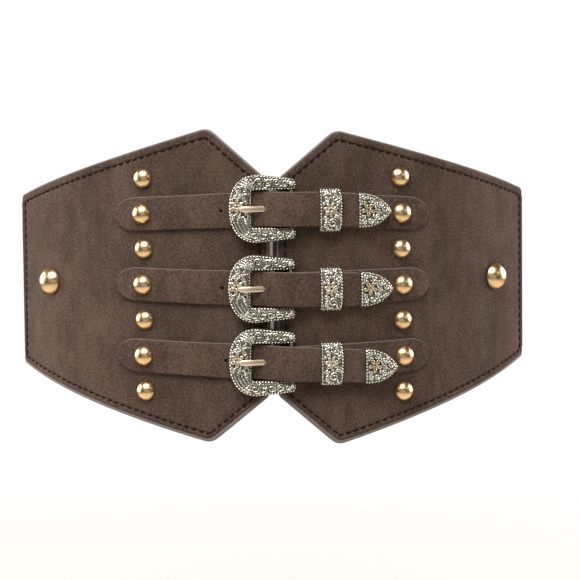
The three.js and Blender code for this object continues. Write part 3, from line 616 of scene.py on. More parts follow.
def sew(name, line, level):
    """All stitches along a closed line, as one mesh."""
    flat, faces = [], []
    for middle, heading in zip(line, headings(line)):
        start = len(flat)
        faces += [[start + i for i in face] for face in tube_faces(7, 8)]
        flat += stitch_rings(middle, heading, level)
    return make_piece(name, np.array(flat), faces, thread, "panel_leather")


for side in ("left", "right"):
    line = inset_line(outline_of(f"panel_{side}"), SEAM_INSET, STITCH_PITCH)
    sew(f"seam_{side}", line, SEAM_LEVEL)
    print("stitches on the", side, "panel:", len(line))

# %% [markdown]
# ## Straps
# A strap is one strip of leather with softened edges. Its middle line, level and width come from rays onto
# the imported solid, and a rounded cross-section is swept along them, which keeps the edge's fine highlight
# that a sharp box would lose. The buckle straps also turn back round the heel bar of their buckle.

# %% Strap sweep
STRAP_HALF = 9.9
STRAP_ROUND = 0.6
ROUND_END = 14
# edge marks of the straps: the top outer corner gets a painted highlight, as if lit from above
TOP_EDGE_HIGHLIGHT, NO_TOP_HIGHLIGHT = 0.6, 1.6


def strap_section(half, thickness):
    """Rounded rectangle, across and out."""
    radius = min(STRAP_ROUND, half * 0.9, thickness * 0.45)
    quarter = np.arange(0, 91, 18)
    corners = [(1, 1, 0), (-1, 1, 90), (-1, -1, 180), (1, -1, 270)]
    return np.vstack([table(across * (half - radius) + radius * np.cos(np.radians(start + quarter)),
                            out * (thickness / 2 - radius) + radius * np.sin(np.radians(start + quarter)))
                      for across, out, start in corners])


def round_section(half, thickness):
    """Bar section, across and out, round in front and behind."""
    turn = np.radians(np.arange(90, -270, -15))
    cosine, sine = np.cos(turn), np.sin(turn)
    return table(half * np.sign(cosine) * np.abs(cosine) ** 0.8,
                 thickness / 2 * np.sign(sine) * np.abs(sine) ** 0.8)[::-1]


def sweep(path, thickness, make_section=strap_section):
    """Flat rings of a strap along rows of s, n, z and half width, n being its middle level."""
    heading = np.gradient(path[:, [0, 1]], axis=0)
    heading /= np.hypot(*heading.T)[:, None]
    rings = []
    for (s, n, z, half), (ahead, up) in zip(path, heading):
        section = make_section(max(half, 0.25), thickness)
        rings.append(table(s - section[:, 1] * up, n + section[:, 1] * ahead, z + section[:, 0]))
    return np.array(rings)


def highlit_top_corner(rings):
    """Edge mark of each ring point: low on the upper corner that faces out, where a paler highlight is painted
    as if lit from above.
    """
    section = np.full(rings.shape[1], NO_TOP_HIGHLIGHT)
    section[1:5] = TOP_EDGE_HIGHLIGHT
    return {"edge": np.tile(section, len(rings))}


def rounded_half(from_end):
    """Half width of the strap's rounded end at a distance from its tip."""
    share = np.clip(1 - from_end / ROUND_END, 0, 1)
    return STRAP_HALF * np.sqrt(1 - share ** 2)


def end_steps(length, count=14):
    """Distances from a rounded end, close together at the tip."""
    return length * (1 - np.cos(np.linspace(0.03, math.pi / 2, count)))


def punch(piece, holes, depth=0.03):
    """Holes cut through a strap; each is its place s, z with its half length and half width."""
    # the straps' edge marks, which carry their painted top highlight, are kept through the cuts
    wear_and_highlight = np.zeros(len(piece.data.vertices), "f")
    piece.data.attributes["edge"].data.foreach_get("value", wear_and_highlight)
    before = KDTree(len(wear_and_highlight))
    for number, vertex in enumerate(piece.data.vertices):
        before.insert(vertex.co, number)
    before.balance()
    for s, z, half_length, half_width in holes:
        bpy.ops.mesh.primitive_cylinder_add(vertices=40, radius=1, depth=1)
        cutter = bpy.context.object
        cutter.scale = (half_width * MM, half_length * MM, depth)
        outward = Vector(place(s, 10, z) - place(s, 0, z))
        cutter.rotation_euler = outward.to_track_quat("Z", "X").to_euler()
        cutter.location = Vector(place(s, 3, z))
        modifier = piece.modifiers.new("hole", "BOOLEAN")
        modifier.operation, modifier.object, modifier.solver = "DIFFERENCE", cutter, "EXACT"
        bpy.context.view_layer.update()
        evaluated = piece.evaluated_get(bpy.context.evaluated_depsgraph_get())
        mesh = bpy.data.meshes.new_from_object(evaluated)
        piece.modifiers.clear()
        piece.data = mesh
        bpy.data.objects.remove(cutter)
    keep_flat(piece.data, flatten([v.co for v in piece.data.vertices]))
    found = [before.find(vertex.co) for vertex in piece.data.vertices]
    kept = np.array([wear_and_highlight[number] if away < 0.01 * MM else NO_TOP_HIGHLIGHT for _, number, away in found], "f")
    piece.data.attributes["edge"].data.foreach_set("value", kept)
    piece.data.set_sharp_from_angle(angle=math.radians(50))


# %% Tongue straps
TONGUE_THICKNESS = 1.9
HOLE_RADIUS = 1.0
SLOT_HALF = 2.1
WIDEST_HALF = 10.2
# Places s between which the strap widens, stays at its widest and narrows again
WIDER_AT = (-60, -30, 20, 45)
TIP_COVERS = 6


def hole_places(name, line):
    """Places of the holes along a strap's middle line that nothing covers, found by rays that miss."""
    s, z = line[:2]
    tested = np.arange(s[0] + 20, s[-1] - 25, 0.4)
    missed = [a for a in tested if outer_level(name, a, np.interp(a, s, z)) is None]
    groups = np.split(missed, np.where(np.diff(missed) > 2)[0] + 1)
    return [(group.mean(), np.interp(group.mean(), s, z), np.ptp(group) / 2) for group in groups if len(group)]


def build_tongue(number):
    """Strap that passes through the buckle, from its rounded riveted end to inside its tip."""
    node = f"tongue_strap_{number}"
    line = scan_strap(node)
    low, high = flat_box(node)
    s, z, half, level = line
    z, level = soften(z, 5), soften(level, 1)
    stations = np.concatenate([low[0] + end_steps(ROUND_END),
                               np.arange(low[0] + ROUND_END + SCAN_STEP, high[0] - TIP_COVERS, SCAN_STEP)])
    width = np.interp(stations, s, half + 0.25)
    widest = np.interp(stations, WIDER_AT, [STRAP_HALF, WIDEST_HALF, WIDEST_HALF, STRAP_HALF])
    width = np.where(stations < low[0] + ROUND_END + 1, rounded_half(stations - low[0]),
                     np.where(width > STRAP_HALF - 0.3, widest, width))
    path = table(
        stations, np.interp(stations, s, level) - TONGUE_THICKNESS / 2, np.interp(stations, s, z), width)
    rings = sweep(path, TONGUE_THICKNESS)
    piece = make_tube(f"strap_with_holes_{number}", rings, strap_nubuck, "strap_leather", [node],
                      highlit_top_corner(rings))
    holes = hole_places(node, line)
    punch(piece, [(a, b, max(reach, HOLE_RADIUS), HOLE_RADIUS if reach < 2 else SLOT_HALF)
                  for a, b, reach in holes])
    print(piece.name, "holes:", [(round(a, 1), round(reach, 1)) for a, b, reach in holes])


for number in (1, 2, 3):
    build_tongue(number)

# %% Buckle straps
BILLET_THICKNESS = 1.5
HEEL_FROM_LOOP = 2.7
TURN_BACK = 10
LIE = 0.3
FOLD_SLOT_HALF_LENGTH = 3.4


def build_billet(number):
    """Strap riveted to the right panel, folded round the heel bar with its end turned back under it."""
    node = f"buckle_strap_{number}"
    high = flat_box(node)[1]
    s, z, _, level = scan_strap(node)
    z = soften(z, 5)
    heel = flat_box(f"prong_{number}")[1][0] - HEEL_FROM_LOOP
    upper_end = high[0] - end_steps(ROUND_END)[::-1]
    upper = np.concatenate([np.arange(heel + 0.5, upper_end[0] - 1, SCAN_STEP), upper_end])
    upper_level = np.interp(upper, s, soften(level, 1)) - BILLET_THICKNESS / 2
    width = np.where(upper > high[0] - ROUND_END - 1, rounded_half(high[0] - upper), STRAP_HALF)
    lowest = LIE + BILLET_THICKNESS / 2
    middle = (upper_level[0] + lowest) / 2
    bend = (upper_level[0] - lowest) / 2
    turns = -math.pi / 2 - np.linspace(0, math.pi, 13)
    lower = np.linspace(heel + TURN_BACK, heel + 1, 6)
    path = np.vstack([
        table(lower, lowest, 0, STRAP_HALF),
        table(heel + bend * np.cos(turns), middle + bend * np.sin(turns), 0, STRAP_HALF),
        table(upper, upper_level, 0, width)])
    path[:, 2] = np.interp(path[:, 0], s, z)
    rings = sweep(path, BILLET_THICKNESS)
    piece = make_tube(f"strap_folded_{number}", rings, strap_nubuck, "strap_leather", [node],
                      highlit_top_corner(rings))
    punch(piece, [(heel, np.interp(heel, s, z), FOLD_SLOT_HALF_LENGTH, SLOT_HALF + 0.2)])
    return piece


for number in (1, 2, 3):
    piece = build_billet(number)
    print(piece.name, "faces:", len(piece.data.polygons))

# %% [markdown]
# ## Raised ornament
# Western castings are covered in running scrolls: spirals with a round eye, pointed leaves between them, a
# small flower and a beaded border. Each element is a stroke, a line with a width, and stands up like half a
# round wire. For every point of a casting's fine grid the highest stroke over it gives the relief, so the
# same few lines of code make real raised metal and, for the patina, its height.

# %% Strokes
def spiral(centre, radius, turn=1, start=0.0, turns=1.25, width=0.5):
    """Scroll that winds in towards a dark eye; start in radians, turn 1 or -1."""
    share = np.linspace(0, 1, 34)
    angle = start + turn * share * turns * 2 * math.pi
    reach = (radius - width) * (1 - 0.72 * share ** 0.9)
    points = table(centre[0] + reach * np.cos(angle), centre[1] + reach * np.sin(angle))
    return points, width * (0.55 + 0.45 * np.sin(math.pi * np.clip(share * 1.15 + 0.12, 0, 1)))


def leaf(root, tip, bow=0.3, width=0.5):
    """Pointed leaf from root to tip, bowed to one side."""
    root, tip = np.array(root, float), np.array(tip, float)
    share = np.linspace(0, 1, 10)[:, None]
    side = np.array([-(tip - root)[1], (tip - root)[0]])
    points = root + (tip - root) * share + side * bow * np.sin(math.pi * share)
    return points, 0.12 + width * np.sin(math.pi * share[:, 0] ** 0.8)


def curl(centre, radius, turn=1, start=0.0):
    """Scroll with leaves that spring from its outside, as on a vine."""
    strokes = [spiral(centre, radius, turn, start)]
    for lean, reach in ((0.4, 1.5), (1.9, 1.4), (3.6, 1.45)):
        root = start + turn * lean
        tip = root - turn * 0.7
        strokes.append(leaf(
            (centre[0] + radius * math.cos(root), centre[1] + radius * math.sin(root)),
            (centre[0] + radius * reach * math.cos(tip), centre[1] + radius * reach * math.sin(tip)),
            turn * 0.25, 0.42))
    return strokes


def petals(centre, radius, count, start=0.3):
    """Flower of full round petals about a raised ring with a dark eye."""
    strokes = []
    for angle in start + np.arange(count) * 2 * math.pi / count:
        out = np.array([math.cos(angle), math.sin(angle)])
        reach = np.array([[0.4], [0.55], [0.7], [0.8]])
        strokes.append((np.array(centre) + radius * reach * out, radius * np.array([0.15, 0.25, 0.32, 0.28])))
    around = np.linspace(0, 2 * math.pi, 17)[:, None]
    ring = np.hstack([np.cos(around), np.sin(around)]) * radius * 0.26
    return strokes + [(np.array(centre) + ring, np.full(17, radius * 0.1))]


def beads(line, length, width):
    """Row of short rounded bars along a line, slanted like a rope."""
    strokes = []
    for point, heading in zip(line, headings(line)):
        lay = heading * 0.94 + np.array([-heading[1], heading[0]]) * 0.34
        strokes.append((point + lay * np.array([[-0.5], [0], [0.5]]) * length, np.full(3, width)))
    return strokes


def stand_up(points, strokes):
    """Highest relief over each point, 0 to 1, from half-round strokes."""
    relief = np.zeros(len(points))
    for line, width in strokes:
        reach = width.max() + 0.05
        near = np.where(((points > line.min(0) - reach) & (points < line.max(0) + reach)).all(1))[0]
        spots = points[near]
        best = np.zeros(len(near))
        for start, end, w0, w1 in zip(line[:-1], line[1:], width[:-1], width[1:]):
            step = end - start
            share = np.clip((spots - start) @ step / max(step @ step, 1e-9), 0, 1)
            distance = np.hypot(*(spots - start - share[:, None] * step).T)
            best = np.maximum(best, 1 - (distance / (w0 + (w1 - w0) * share)) ** 2)
        relief[near] = np.maximum(relief[near], np.sqrt(np.clip(best, 0, 1)))
    return relief


def pebbles(points, pitch=1.0, radius=0.44):
    """Low round grains that fill the ground between scrolls, in rows set half a pitch apart."""
    row = np.round(points[:, 1] / (pitch * 0.87))
    shift = 0.5 * (row % 2) + 0.18 * np.sin(row * 2.3)
    across = points[:, 0] / pitch - shift
    away = np.hypot((across - np.round(across)) * pitch, points[:, 1] - row * pitch * 0.87)
    return np.sqrt(np.clip(1 - (away / radius) ** 2, 0, 1))


RELIEF_HEIGHT = 0.55
PLAIN_RELIEF = 0.45
BEAD_PITCH = 1.85
BEAD = {"length": 0.55, "width": 0.46}
GROUND_HEIGHT = 0.5


def carve(points, curls, flower, edge, inset, ridges=()):
    """Relief and share of gold at each point of a grid. The beads on the edge push the scrolls aside, and so
    does the flower, and low grains fill what is left."""
    grid, points = points.shape[:2], points.reshape(-1, 2)
    scrolls = [stroke for u, v, radius, turn, start in curls for stroke in curl((u, v), radius, turn, start)]
    scrolls += ridges
    border = beads(inset_line(edge, inset, BEAD_PITCH), **BEAD)
    away = np.hypot(*(points - flower["centre"]).T)
    clear = np.clip((away - flower["radius"]) / 0.35, 0, 1)
    near_border = stand_up(points, [(line, width + 0.3) for line, width in border])
    near_scroll = stand_up(points, [(line, width + 0.22) for line, width in scrolls])
    ground = GROUND_HEIGHT * pebbles(points) * (1 - np.clip(near_scroll * 3, 0, 1))
    relief = np.maximum(stand_up(points, scrolls), ground) * clear * (1 - np.clip(near_border * 3, 0, 1))
    relief = np.maximum(np.maximum(relief, stand_up(points, petals(**flower))), stand_up(points, border))
    return relief.reshape(grid), np.clip((flower["radius"] + 0.2 - away) / 0.3, 0, 1).reshape(grid)


def make_casting(name, node, grid, relief, gold, closing):
    """Cast piece from a grid of flat places whose rows close round their back points."""
    rows, columns = grid.shape[:2]
    back = grid.shape[1] - relief.shape[1]
    relief = np.hstack([relief, np.full((rows, back), PLAIN_RELIEF)])
    gold = np.hstack([gold, np.zeros((rows, back))])
    return make_piece(name, grid.reshape(-1, 3), closing(rows, columns), antique, "antique_metal", [node],
                      {"relief": relief, "gold": gold}, sharp=70)


# %% [markdown]
# ## Buckle frames
# The frame is a curved bar with two arms. It is drawn as pairs of points, one on the outer edge and one on
# the inner edge, walked from the end of the upper arm to the end of the lower one. Between each pair the
# surface rises in a low dome, and the ornament is added on top.

# %% Frame outline
FRAME = {"length": 39.6, "half": 19.9, "shoulder": 16.6, "end_half": 17.4, "power": 2.3, "end_round": 2.6,
         "window": 13.4, "window_half": 10.9, "window_corner": 1.6, "thickness": 4.0}
ARM_SHARE = 0.27
FRAME_ROWS, FRAME_COLUMNS = 440, 54


def window_point(share):
    """Point on the window's upper left edge, from its middle on the left to above its corner."""
    left, half, radius = FRAME["window"], FRAME["window_half"], FRAME["window_corner"]
    straight, corner = half - radius, radius * math.pi / 2
    along = share * (straight + corner + FRAME["shoulder"] - left - radius)
    if along < straight:
        return np.array([left, along])
    if along < straight + corner:
        turn = (along - straight) / radius
        return np.array([left + radius * (1 - math.cos(turn)), straight + radius * math.sin(turn)])
    return np.array([left + radius + along - straight - corner, half])


def frame_pair(share):
    """Outer and inner point at a share of the way round, 0 and 1 being the arms' ends."""
    side, along = (1, share) if share <= 0.5 else (-1, 1 - share)
    length, half, shoulder = FRAME["length"], FRAME["half"], FRAME["shoulder"]
    if along < ARM_SHARE:
        u = length - (length - shoulder) * along / ARM_SHARE
        taper = (u - shoulder) / (length - shoulder)
        outer = np.array([u, half + (FRAME["end_half"] - half) * taper])
        inner = np.array([u, FRAME["window_half"]])
        middle, blunt = (outer[1] + inner[1]) / 2, (outer[1] - inner[1]) / 2
        past = max(0, 1 - (length - u) / FRAME["end_round"])
        narrow = (1 - 0.94 * past ** 2.6) ** (1 / 2.2)
        outer[1], inner[1] = middle + blunt * narrow, middle - blunt * narrow
    else:
        bend = (0.5 - along) / (0.5 - ARM_SHARE)
        power, turn = 2 / FRAME["power"], bend * math.pi / 2
        outer = np.array([shoulder * (1 - math.cos(turn) ** power), half * math.sin(turn) ** power])
        inner = window_point(bend)
    return outer * (1, side), inner * (1, side)


def band_point(share, across):
    """Point of the frame at a share of the way round; across 0 is the outer edge and 1 the inner."""
    outer, inner = frame_pair(share)
    return outer + (inner - outer) * across


across = np.linspace(0, 1, FRAME_COLUMNS)
frame_flat = np.array([[band_point(share, t) for t in across] for share in np.linspace(0, 1, FRAME_ROWS)])
print("frame grid:", frame_flat.shape[:2])

# %% Frame ornament
# u from the frame's left edge, v up from its middle, radius, turn, start in radians
FRAME_CURLS = [
    (12.9, 16.0, 2.4, 1, 2.4), (17.8, 15.7, 2.9, -1, 3.6), (23.2, 15.6, 2.8, 1, 4.2),
    (28.3, 15.3, 2.6, -1, 2.7), (33.0, 14.9, 2.5, 1, 4.4), (37.0, 14.6, 1.8, -1, 2.6),
    (5.4, 11.4, 2.5, 1, 5.2), (9.6, 9.6, 2.1, -1, 1.4), (3.8, 7.2, 1.7, -1, 1.0), (9.6, 5.4, 2.0, 1, 1.9),
    (6.9, 7.4, 1.4, 1, 0.4), (10.3, -2.8, 1.8, 1, 5.2), (9.6, -6.6, 1.6, -1, 2.0), (3.0, -4.6, 1.5, 1, 0.8),
    (6.2, -4.4, 1.5, -1, 1.4), (10.6, -16.4, 2.2, 1, 1.2), (15.2, -15.4, 2.6, -1, 0.4),
    (20.2, -15.9, 2.7, 1, 2.2), (25.2, -15.3, 2.7, -1, 0.2), (30.2, -15.3, 2.6, 1, 1.8),
    (34.8, -14.8, 2.3, -1, 0.4), (37.8, -14.4, 1.4, 1, 1.9),
]
FRAME_FLOWER = {"centre": (4.9, 1.4), "radius": 4.1, "count": 6, "start": 0.5}
# Share of the way round where a ridge starts and ends, and how far across it lies at either end
FRAME_RIDGES = [
    (0.285, 0.335, 0.95, 0.12), (0.300, 0.352, 0.97, 0.12), (0.318, 0.370, 0.99, 0.12),
    (0.560, 0.705, 0.16, 0.20), (0.565, 0.700, 0.32, 0.38), (0.580, 0.695, 0.48, 0.56),
    (0.600, 0.692, 0.64, 0.74),
]


def frame_ridges():
    """Strokes of the long ridges that follow the bar."""
    strokes, share = [], np.linspace(0, 1, 12)
    for first, last, out_first, out_last in FRAME_RIDGES:
        line = np.array([band_point(first + (last - first) * t, out_first + (out_last - out_first) * t)
                         for t in share])
        strokes.append((line, 0.52 * np.sin(np.linspace(0.45, math.pi - 0.3, 12)) ** 0.6))
    return strokes


def frame_rises():
    """Share of the thickness at each grid point: a low dome across, lower at the arms' ends."""
    dome = 0.66 + 0.34 * np.sin(across ** 0.85 * math.pi) ** 0.7
    from_end = np.minimum(np.arange(FRAME_ROWS), np.arange(FRAME_ROWS)[::-1]) / 12
    return np.outer(0.5 + 0.5 * np.sqrt(1 - (1 - np.clip(from_end, 0, 1)) ** 2), dome)


frame_edge = np.array([frame_pair(share)[0] for share in np.linspace(1, 0, 200)]
                      + [frame_pair(share)[1] for share in np.linspace(0, 1, 200)])
frame_relief, frame_gold = carve(frame_flat, FRAME_CURLS, FRAME_FLOWER, frame_edge, 0.55, frame_ridges())
print("raised share of the frame:", round(float((frame_relief > 0.3).mean()), 2))

# %% Frames
# The beads make the edge look fuller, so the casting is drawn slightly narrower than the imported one
EDGE_PULLED_IN = 0.7
NARROWER = 0.962
FRAME_SEAT = 2.5
FRAME_GILT = 0.7
HEEL_RADIUS = 1.0
HEEL_LEVEL = 3.1
HEEL_INSET = 3.4
HEEL_INTO_ARM = 1.2


def heel_bar(start, middle):
    """Flat rings of the round bar that the strap and the prong turn on."""
    turns = np.arange(16) * math.pi / 8
    s = start + FRAME["length"] - HEEL_INSET + HEEL_RADIUS * np.cos(turns)
    reach = FRAME["window_half"] + HEEL_INTO_ARM
    return np.array([table(s, HEEL_LEVEL + HEEL_RADIUS * np.sin(turns), middle + z) for z in (-reach, reach)])


def build_frame(number):
    """Cast frame on its seat: dome and relief in front, a plain back, and the heel bar."""
    node = f"buckle_frame_{number}"
    low, high = flat_box(node)
    start, middle = low[0], (low[2] + high[2]) / 2
    level = FRAME_SEAT + frame_rises() * (FRAME["thickness"] - RELIEF_HEIGHT * 0.5)
    level = level + RELIEF_HEIGHT * (frame_relief - 0.5)
    s = start + EDGE_PULLED_IN + frame_flat[..., 0] * NARROWER
    front = table(s, level, middle + frame_flat[..., 1])
    back = front[:, [-1, 0]].copy()
    back[..., 1] = FRAME_SEAT
    grid = np.concatenate([front, back], 1)
    bar = heel_bar(start, middle)
    flat = np.vstack([grid.reshape(-1, 3), bar.reshape(-1, 3)])
    faces = tube_faces(*grid.shape[:2]) + tube_faces(2, 16, grid.shape[0] * grid.shape[1])
    relief = np.hstack([frame_relief, np.full((FRAME_ROWS, 2), PLAIN_RELIEF)])
    gold = FRAME_GILT * np.hstack([frame_gold, np.zeros((FRAME_ROWS, 2))])
    marks = {"relief": np.append(relief, np.full(32, 0.5)), "gold": np.append(gold, np.zeros(32))}
    return make_piece(f"cast_frame_{number}", flat, faces, antique, "antique_metal", [node], marks, sharp=70)


for number in (1, 2, 3):
    piece = build_frame(number)
    print(piece.name, "faces:", len(piece.data.polygons))

# %% [markdown]
# ## Keepers
# A keeper is a band bent round both straps: thick and domed in front where it is cast with its flower and
# scrolls, and a thin plain plate behind. Its outline closes on itself, so its grid closes both ways.

# %% Keepers
KEEPER_BACK = 0.3
KEEPER_INNER = {"side": 1.5, "low": 1.1, "top": 5.4}
KEEPER_AROUND, KEEPER_ALONG = 260, 64
KEEPER_CURLS = [
    (3.7, 6.4, 2.0, 1, 5.0), (8.3, 7.0, 2.3, -1, 1.6), (3.8, 10.2, 1.8, -1, 3.0), (10.4, 4.0, 1.2, 1, 0.8),
    (8.2, 10.9, 1.6, 1, 0.2), (3.3, -4.9, 1.7, 1, 1.4), (7.2, -7.7, 3.1, 1, 1.0), (10.3, -4.2, 1.3, -1, 2.6),
    (3.0, -9.0, 1.6, -1, 0.6), (9.9, -11.2, 1.2, 1, 2.0), (2.2, 3.6, 1.2, -1, 4.0), (5.6, -11.6, 1.1, 1, 3.0),
]
KEEPER_FLOWER = {"centre": (6.1, 0.2), "radius": 4.0, "count": 7}
KEEPER_GILT = 0.6
# The outline's sides are nearly straight and its corners round: a power below 1 does that to a circle
KEEPER_SQUARE = 0.48
KEEPER_WAIST = 0.10
KEEPER_LOWER = 1.2


def build_keeper(number):
    """Keeper from its outline outside and a plain hollow inside."""
    node = f"keeper_{number}"
    low, high = flat_box(node)
    width, half, middle = high[0] - low[0], (high[2] - low[2]) / 2, (low[2] + high[2]) / 2
    turn = np.linspace(0, 2 * math.pi, 1441)[:-1]
    sine, cosine = np.sin(turn), np.cos(turn)
    z = half * np.sign(sine) * np.abs(sine) ** KEEPER_SQUARE
    shoulder = KEEPER_BACK + KEEPER_LOWER
    reach = np.where(cosine > 0, high[1] - shoulder, KEEPER_LOWER)
    outline = table(z, shoulder + np.sign(cosine) * reach * np.abs(cosine) ** KEEPER_SQUARE)
    around = np.hypot(*(outline - np.roll(outline, 1, 0)).T).sum()
    outer = walk(outline, around / KEEPER_AROUND)
    facing = np.clip((outer[:, 1] - shoulder) / (high[1] - shoulder), 0, 1) ** 2
    narrow = 1 - KEEPER_WAIST * np.abs(outer[:, 0] / half) ** 3
    shares = np.linspace(0, 1, KEEPER_ALONG)
    local = table(shares * width * narrow[:, None], outer[:, :1])
    v = np.linspace(-1, 1, 41)
    rim = np.vstack([table(width * (1 - KEEPER_WAIST * np.abs(v) ** 3), v * (half - 0.2)),
                     [(0, half - 0.2), (0, 0.2 - half)]])
    relief, gold = carve(local, KEEPER_CURLS, KEEPER_FLOWER, rim, 0.62)
    relief = np.where(facing[:, None] > 0.02, relief, 0.5)
    level = outer[:, 1:] + RELIEF_HEIGHT * (relief - 1) * facing[:, None]
    level = level - 0.5 * facing[:, None] * np.abs(2 * shares - 1) ** 6
    outside = table(low[0] + local[..., 0], level, middle + local[..., 1])
    inner_half = half - KEEPER_INNER["side"]
    inner_z = np.clip(outer[:, 0], -inner_half, inner_half)
    inner_level = np.clip(outer[:, 1], KEEPER_INNER["low"], KEEPER_INNER["top"])
    ends = [table(low[0] + width * narrow * share, inner_level, middle + inner_z)[:, None] for share in (1, 0)]
    grid = np.concatenate([outside] + ends, 1)
    return make_casting(f"cast_keeper_{number}", node, grid, relief, KEEPER_GILT * gold,
                        lambda rows, columns: grid_faces(rows, columns, wrap=True, ring=True))


for number in (1, 2, 3):
    print(build_keeper(number).name)

# %% [markdown]
# ## Strap tips
# The tip is a pointed cap that slips over the strap's end. Its rings run from the point back to its open left
# edge, and then go on inside as a pocket, so the strap really enters it.

# %% Strap tips
TIP_POWER, TIP_BLUNT = 2.4, 0.8
TIP_ROWS, TIP_COLUMNS = 110, 92
TIP_WALL = 0.55
TIP_POCKET = {"depth": 15.5, "low": 2.9, "top": 5.4}
TIP_CURLS = [
    (7.4, 6.3, 2.3, 1, 3.8), (11.6, 4.2, 2.2, -1, 1.0), (3.0, 7.2, 1.8, -1, 3.4), (15.6, 1.2, 2.4, 1, 2.4),
    (11.4, 0.2, 1.6, -1, 4.6), (11.3, -4.0, 2.3, 1, 1.2), (7.0, -6.0, 2.3, -1, 0.4), (3.0, -6.8, 1.8, 1, 1.6),
    (15.4, -3.2, 1.6, -1, 0.6), (2.2, 4.2, 1.1, 1, 0.5), (2.4, -3.6, 1.2, -1, 0.5), (18.4, -0.6, 1.1, 1, 0.5),
]
TIP_FLOWER = {"centre": (5.6, 0.6), "radius": 3.8, "count": 5, "start": 0.9}


def build_tip(number):
    """Cast cap with its pocket."""
    node = f"strap_tip_{number}"
    low, high = flat_box(node)
    length, half = high[0] - low[0], (high[2] - low[2]) / 2
    s_line, z_line = scan_strap(node, 1.0)[:2]
    slope, base = np.polyfit(s_line[:-2], z_line[:-2], 1)
    share = 1 - np.linspace(0, 1, TIP_ROWS) ** 1.5
    reach = half * np.maximum(1 - share ** TIP_POWER, 0) ** TIP_BLUNT
    turn = np.linspace(-1, 1, TIP_COLUMNS) * math.pi / 2 * 0.86
    across = np.sin(turn) / math.sin(turn[-1])
    local = table(share[:, None] * length, reach[:, None] * across)
    u = np.linspace(0, 1, 60)
    edge = table(length * u, half * (1 - u ** TIP_POWER) ** TIP_BLUNT)
    relief, gold = carve(local, TIP_CURLS, TIP_FLOWER, np.vstack([edge[::-1], edge[:-1] * (1, -1)]), 0.66)
    inside = np.clip((reach[:, None] - np.abs(local[..., 1])) / 2.5, 0, 1)
    ahead = np.clip((length * (1 - share[:, None])) / 4, 0, 1)
    dome = 0.62 + 0.38 * np.sqrt(1 - (1 - inside * np.sqrt(ahead)) ** 2)
    level = low[1] + (high[1] - low[1]) * dome + RELIEF_HEIGHT * (relief - 1)

    def lay(u, z, n):
        return table(low[0] + u, n, base + slope * (low[0] + u) + z)

    front = lay(local[..., 0], local[..., 1], level)
    back = lay(local[:, [-1, 0], 0], local[:, [-1, 0], 1], low[1])
    outside = np.concatenate([front, back], 1)
    depth = np.linspace(0, 1, 8) * TIP_POCKET["depth"]
    pocket_reach = half * (1 - (depth / length) ** TIP_POWER) ** TIP_BLUNT - TIP_WALL
    pocket_z = pocket_reach[:, None] * across
    pocket = np.concatenate([lay(depth[:, None], pocket_z, TIP_POCKET["top"]),
                             lay(depth[:, None], pocket_z[:, [-1, 0]], TIP_POCKET["low"])], 1)
    plain = np.full(pocket_z.shape, 0.3)
    return make_casting(f"cast_tip_{number}", node, np.concatenate([outside, pocket]),
                        np.vstack([relief, plain]), np.vstack([gold, plain * 0]), tube_faces)


for number in (1, 2, 3):
    print(build_tip(number).name)

# %% [markdown]
# ## Prongs and studs
# The prong is a round bar that rests on the frame, dives through a hole in the strap and ends in a ring
# round the heel bar. The studs are solids of revolution: a domed head, a post through the leather and a small
# cap behind it.

# %% Prongs
PRONG = {"thickness": 1.8, "half": 1.75, "ring": 2.0}


def build_prong(number):
    """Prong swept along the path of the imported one, with a ring at its end."""
    node = f"prong_{number}"
    low, high = flat_box(node)
    s, z, _, level = scan_strap(node, 0.6)
    heel = high[0] - PRONG["ring"] - 0.7
    from_tip = np.concatenate([[0.05, 0.3, 0.7, 1.2], np.arange(1.8, heel - 2.2 - low[0], 0.5)])
    stations = low[0] + from_tip
    shape = np.interp(from_tip, [0, 0.3, 1.2, 2], [0.35, 0.62, 0.9, 1])
    width = PRONG["half"] * shape
    centre = np.interp(stations, s, soften(level, 2)) - PRONG["thickness"] / 2 - 0.25 * (1 - shape)
    turns = np.radians(np.arange(190, 510, 12))
    path = np.vstack([
        table(stations, centre, z.mean(), width),
        table(heel + PRONG["ring"] * np.cos(turns), HEEL_LEVEL + PRONG["ring"] * np.sin(turns),
              z.mean(), PRONG["half"])])
    rings = sweep(path, PRONG["thickness"], round_section)
    return make_tube(f"gilt_prong_{number}", rings, prong_gold, "gold_metal", [node])


for number in (1, 2, 3):
    print(build_prong(number).name)

# %% Studs
STUD_DOME = {"stud": 4.6, "end_stud": 6.6}
STUD_RIM = 0.5
POST_RADIUS = 1.6
CAP = {"radius": 4, "thickness": 0.8}
SOFT_EDGE = 0.2
STUD_SIDES = 56


def build_stud(node, kind):
    """Stud turned about the line that stands straight out of the leather."""
    low, high = flat_box(node)
    (s, z), radius = stud_spots([node])[0]
    seat = high[1] - STUD_DOME[kind]
    rise = STUD_DOME[kind] - STUD_RIM
    steepest = 2 * math.atan(rise / radius)
    tilt = np.linspace(steepest, 0, 20)[:-1]
    dome = table(radius * np.sin(tilt) / math.sin(steepest),
                 high[1] - rise * (1 - np.cos(tilt)) / (1 - math.cos(steepest)))
    cap_top = low[1] + CAP["thickness"]
    profile = [(0.05, low[1]), (CAP["radius"] - SOFT_EDGE, low[1]), (CAP["radius"], low[1] + SOFT_EDGE),
               (CAP["radius"], cap_top), (POST_RADIUS, cap_top), (POST_RADIUS, seat),
               (radius - SOFT_EDGE, seat), (radius, seat + SOFT_EDGE), *dome, (0.05, high[1])]
    around = np.arange(STUD_SIDES) * 2 * math.pi / STUD_SIDES
    rings = np.array([table(s + r * np.cos(around), n, z + r * np.sin(around)) for r, n in profile])
    return make_tube(f"gilt_{node}", rings, stud_gold, "gold_metal", [node], sharp=40)


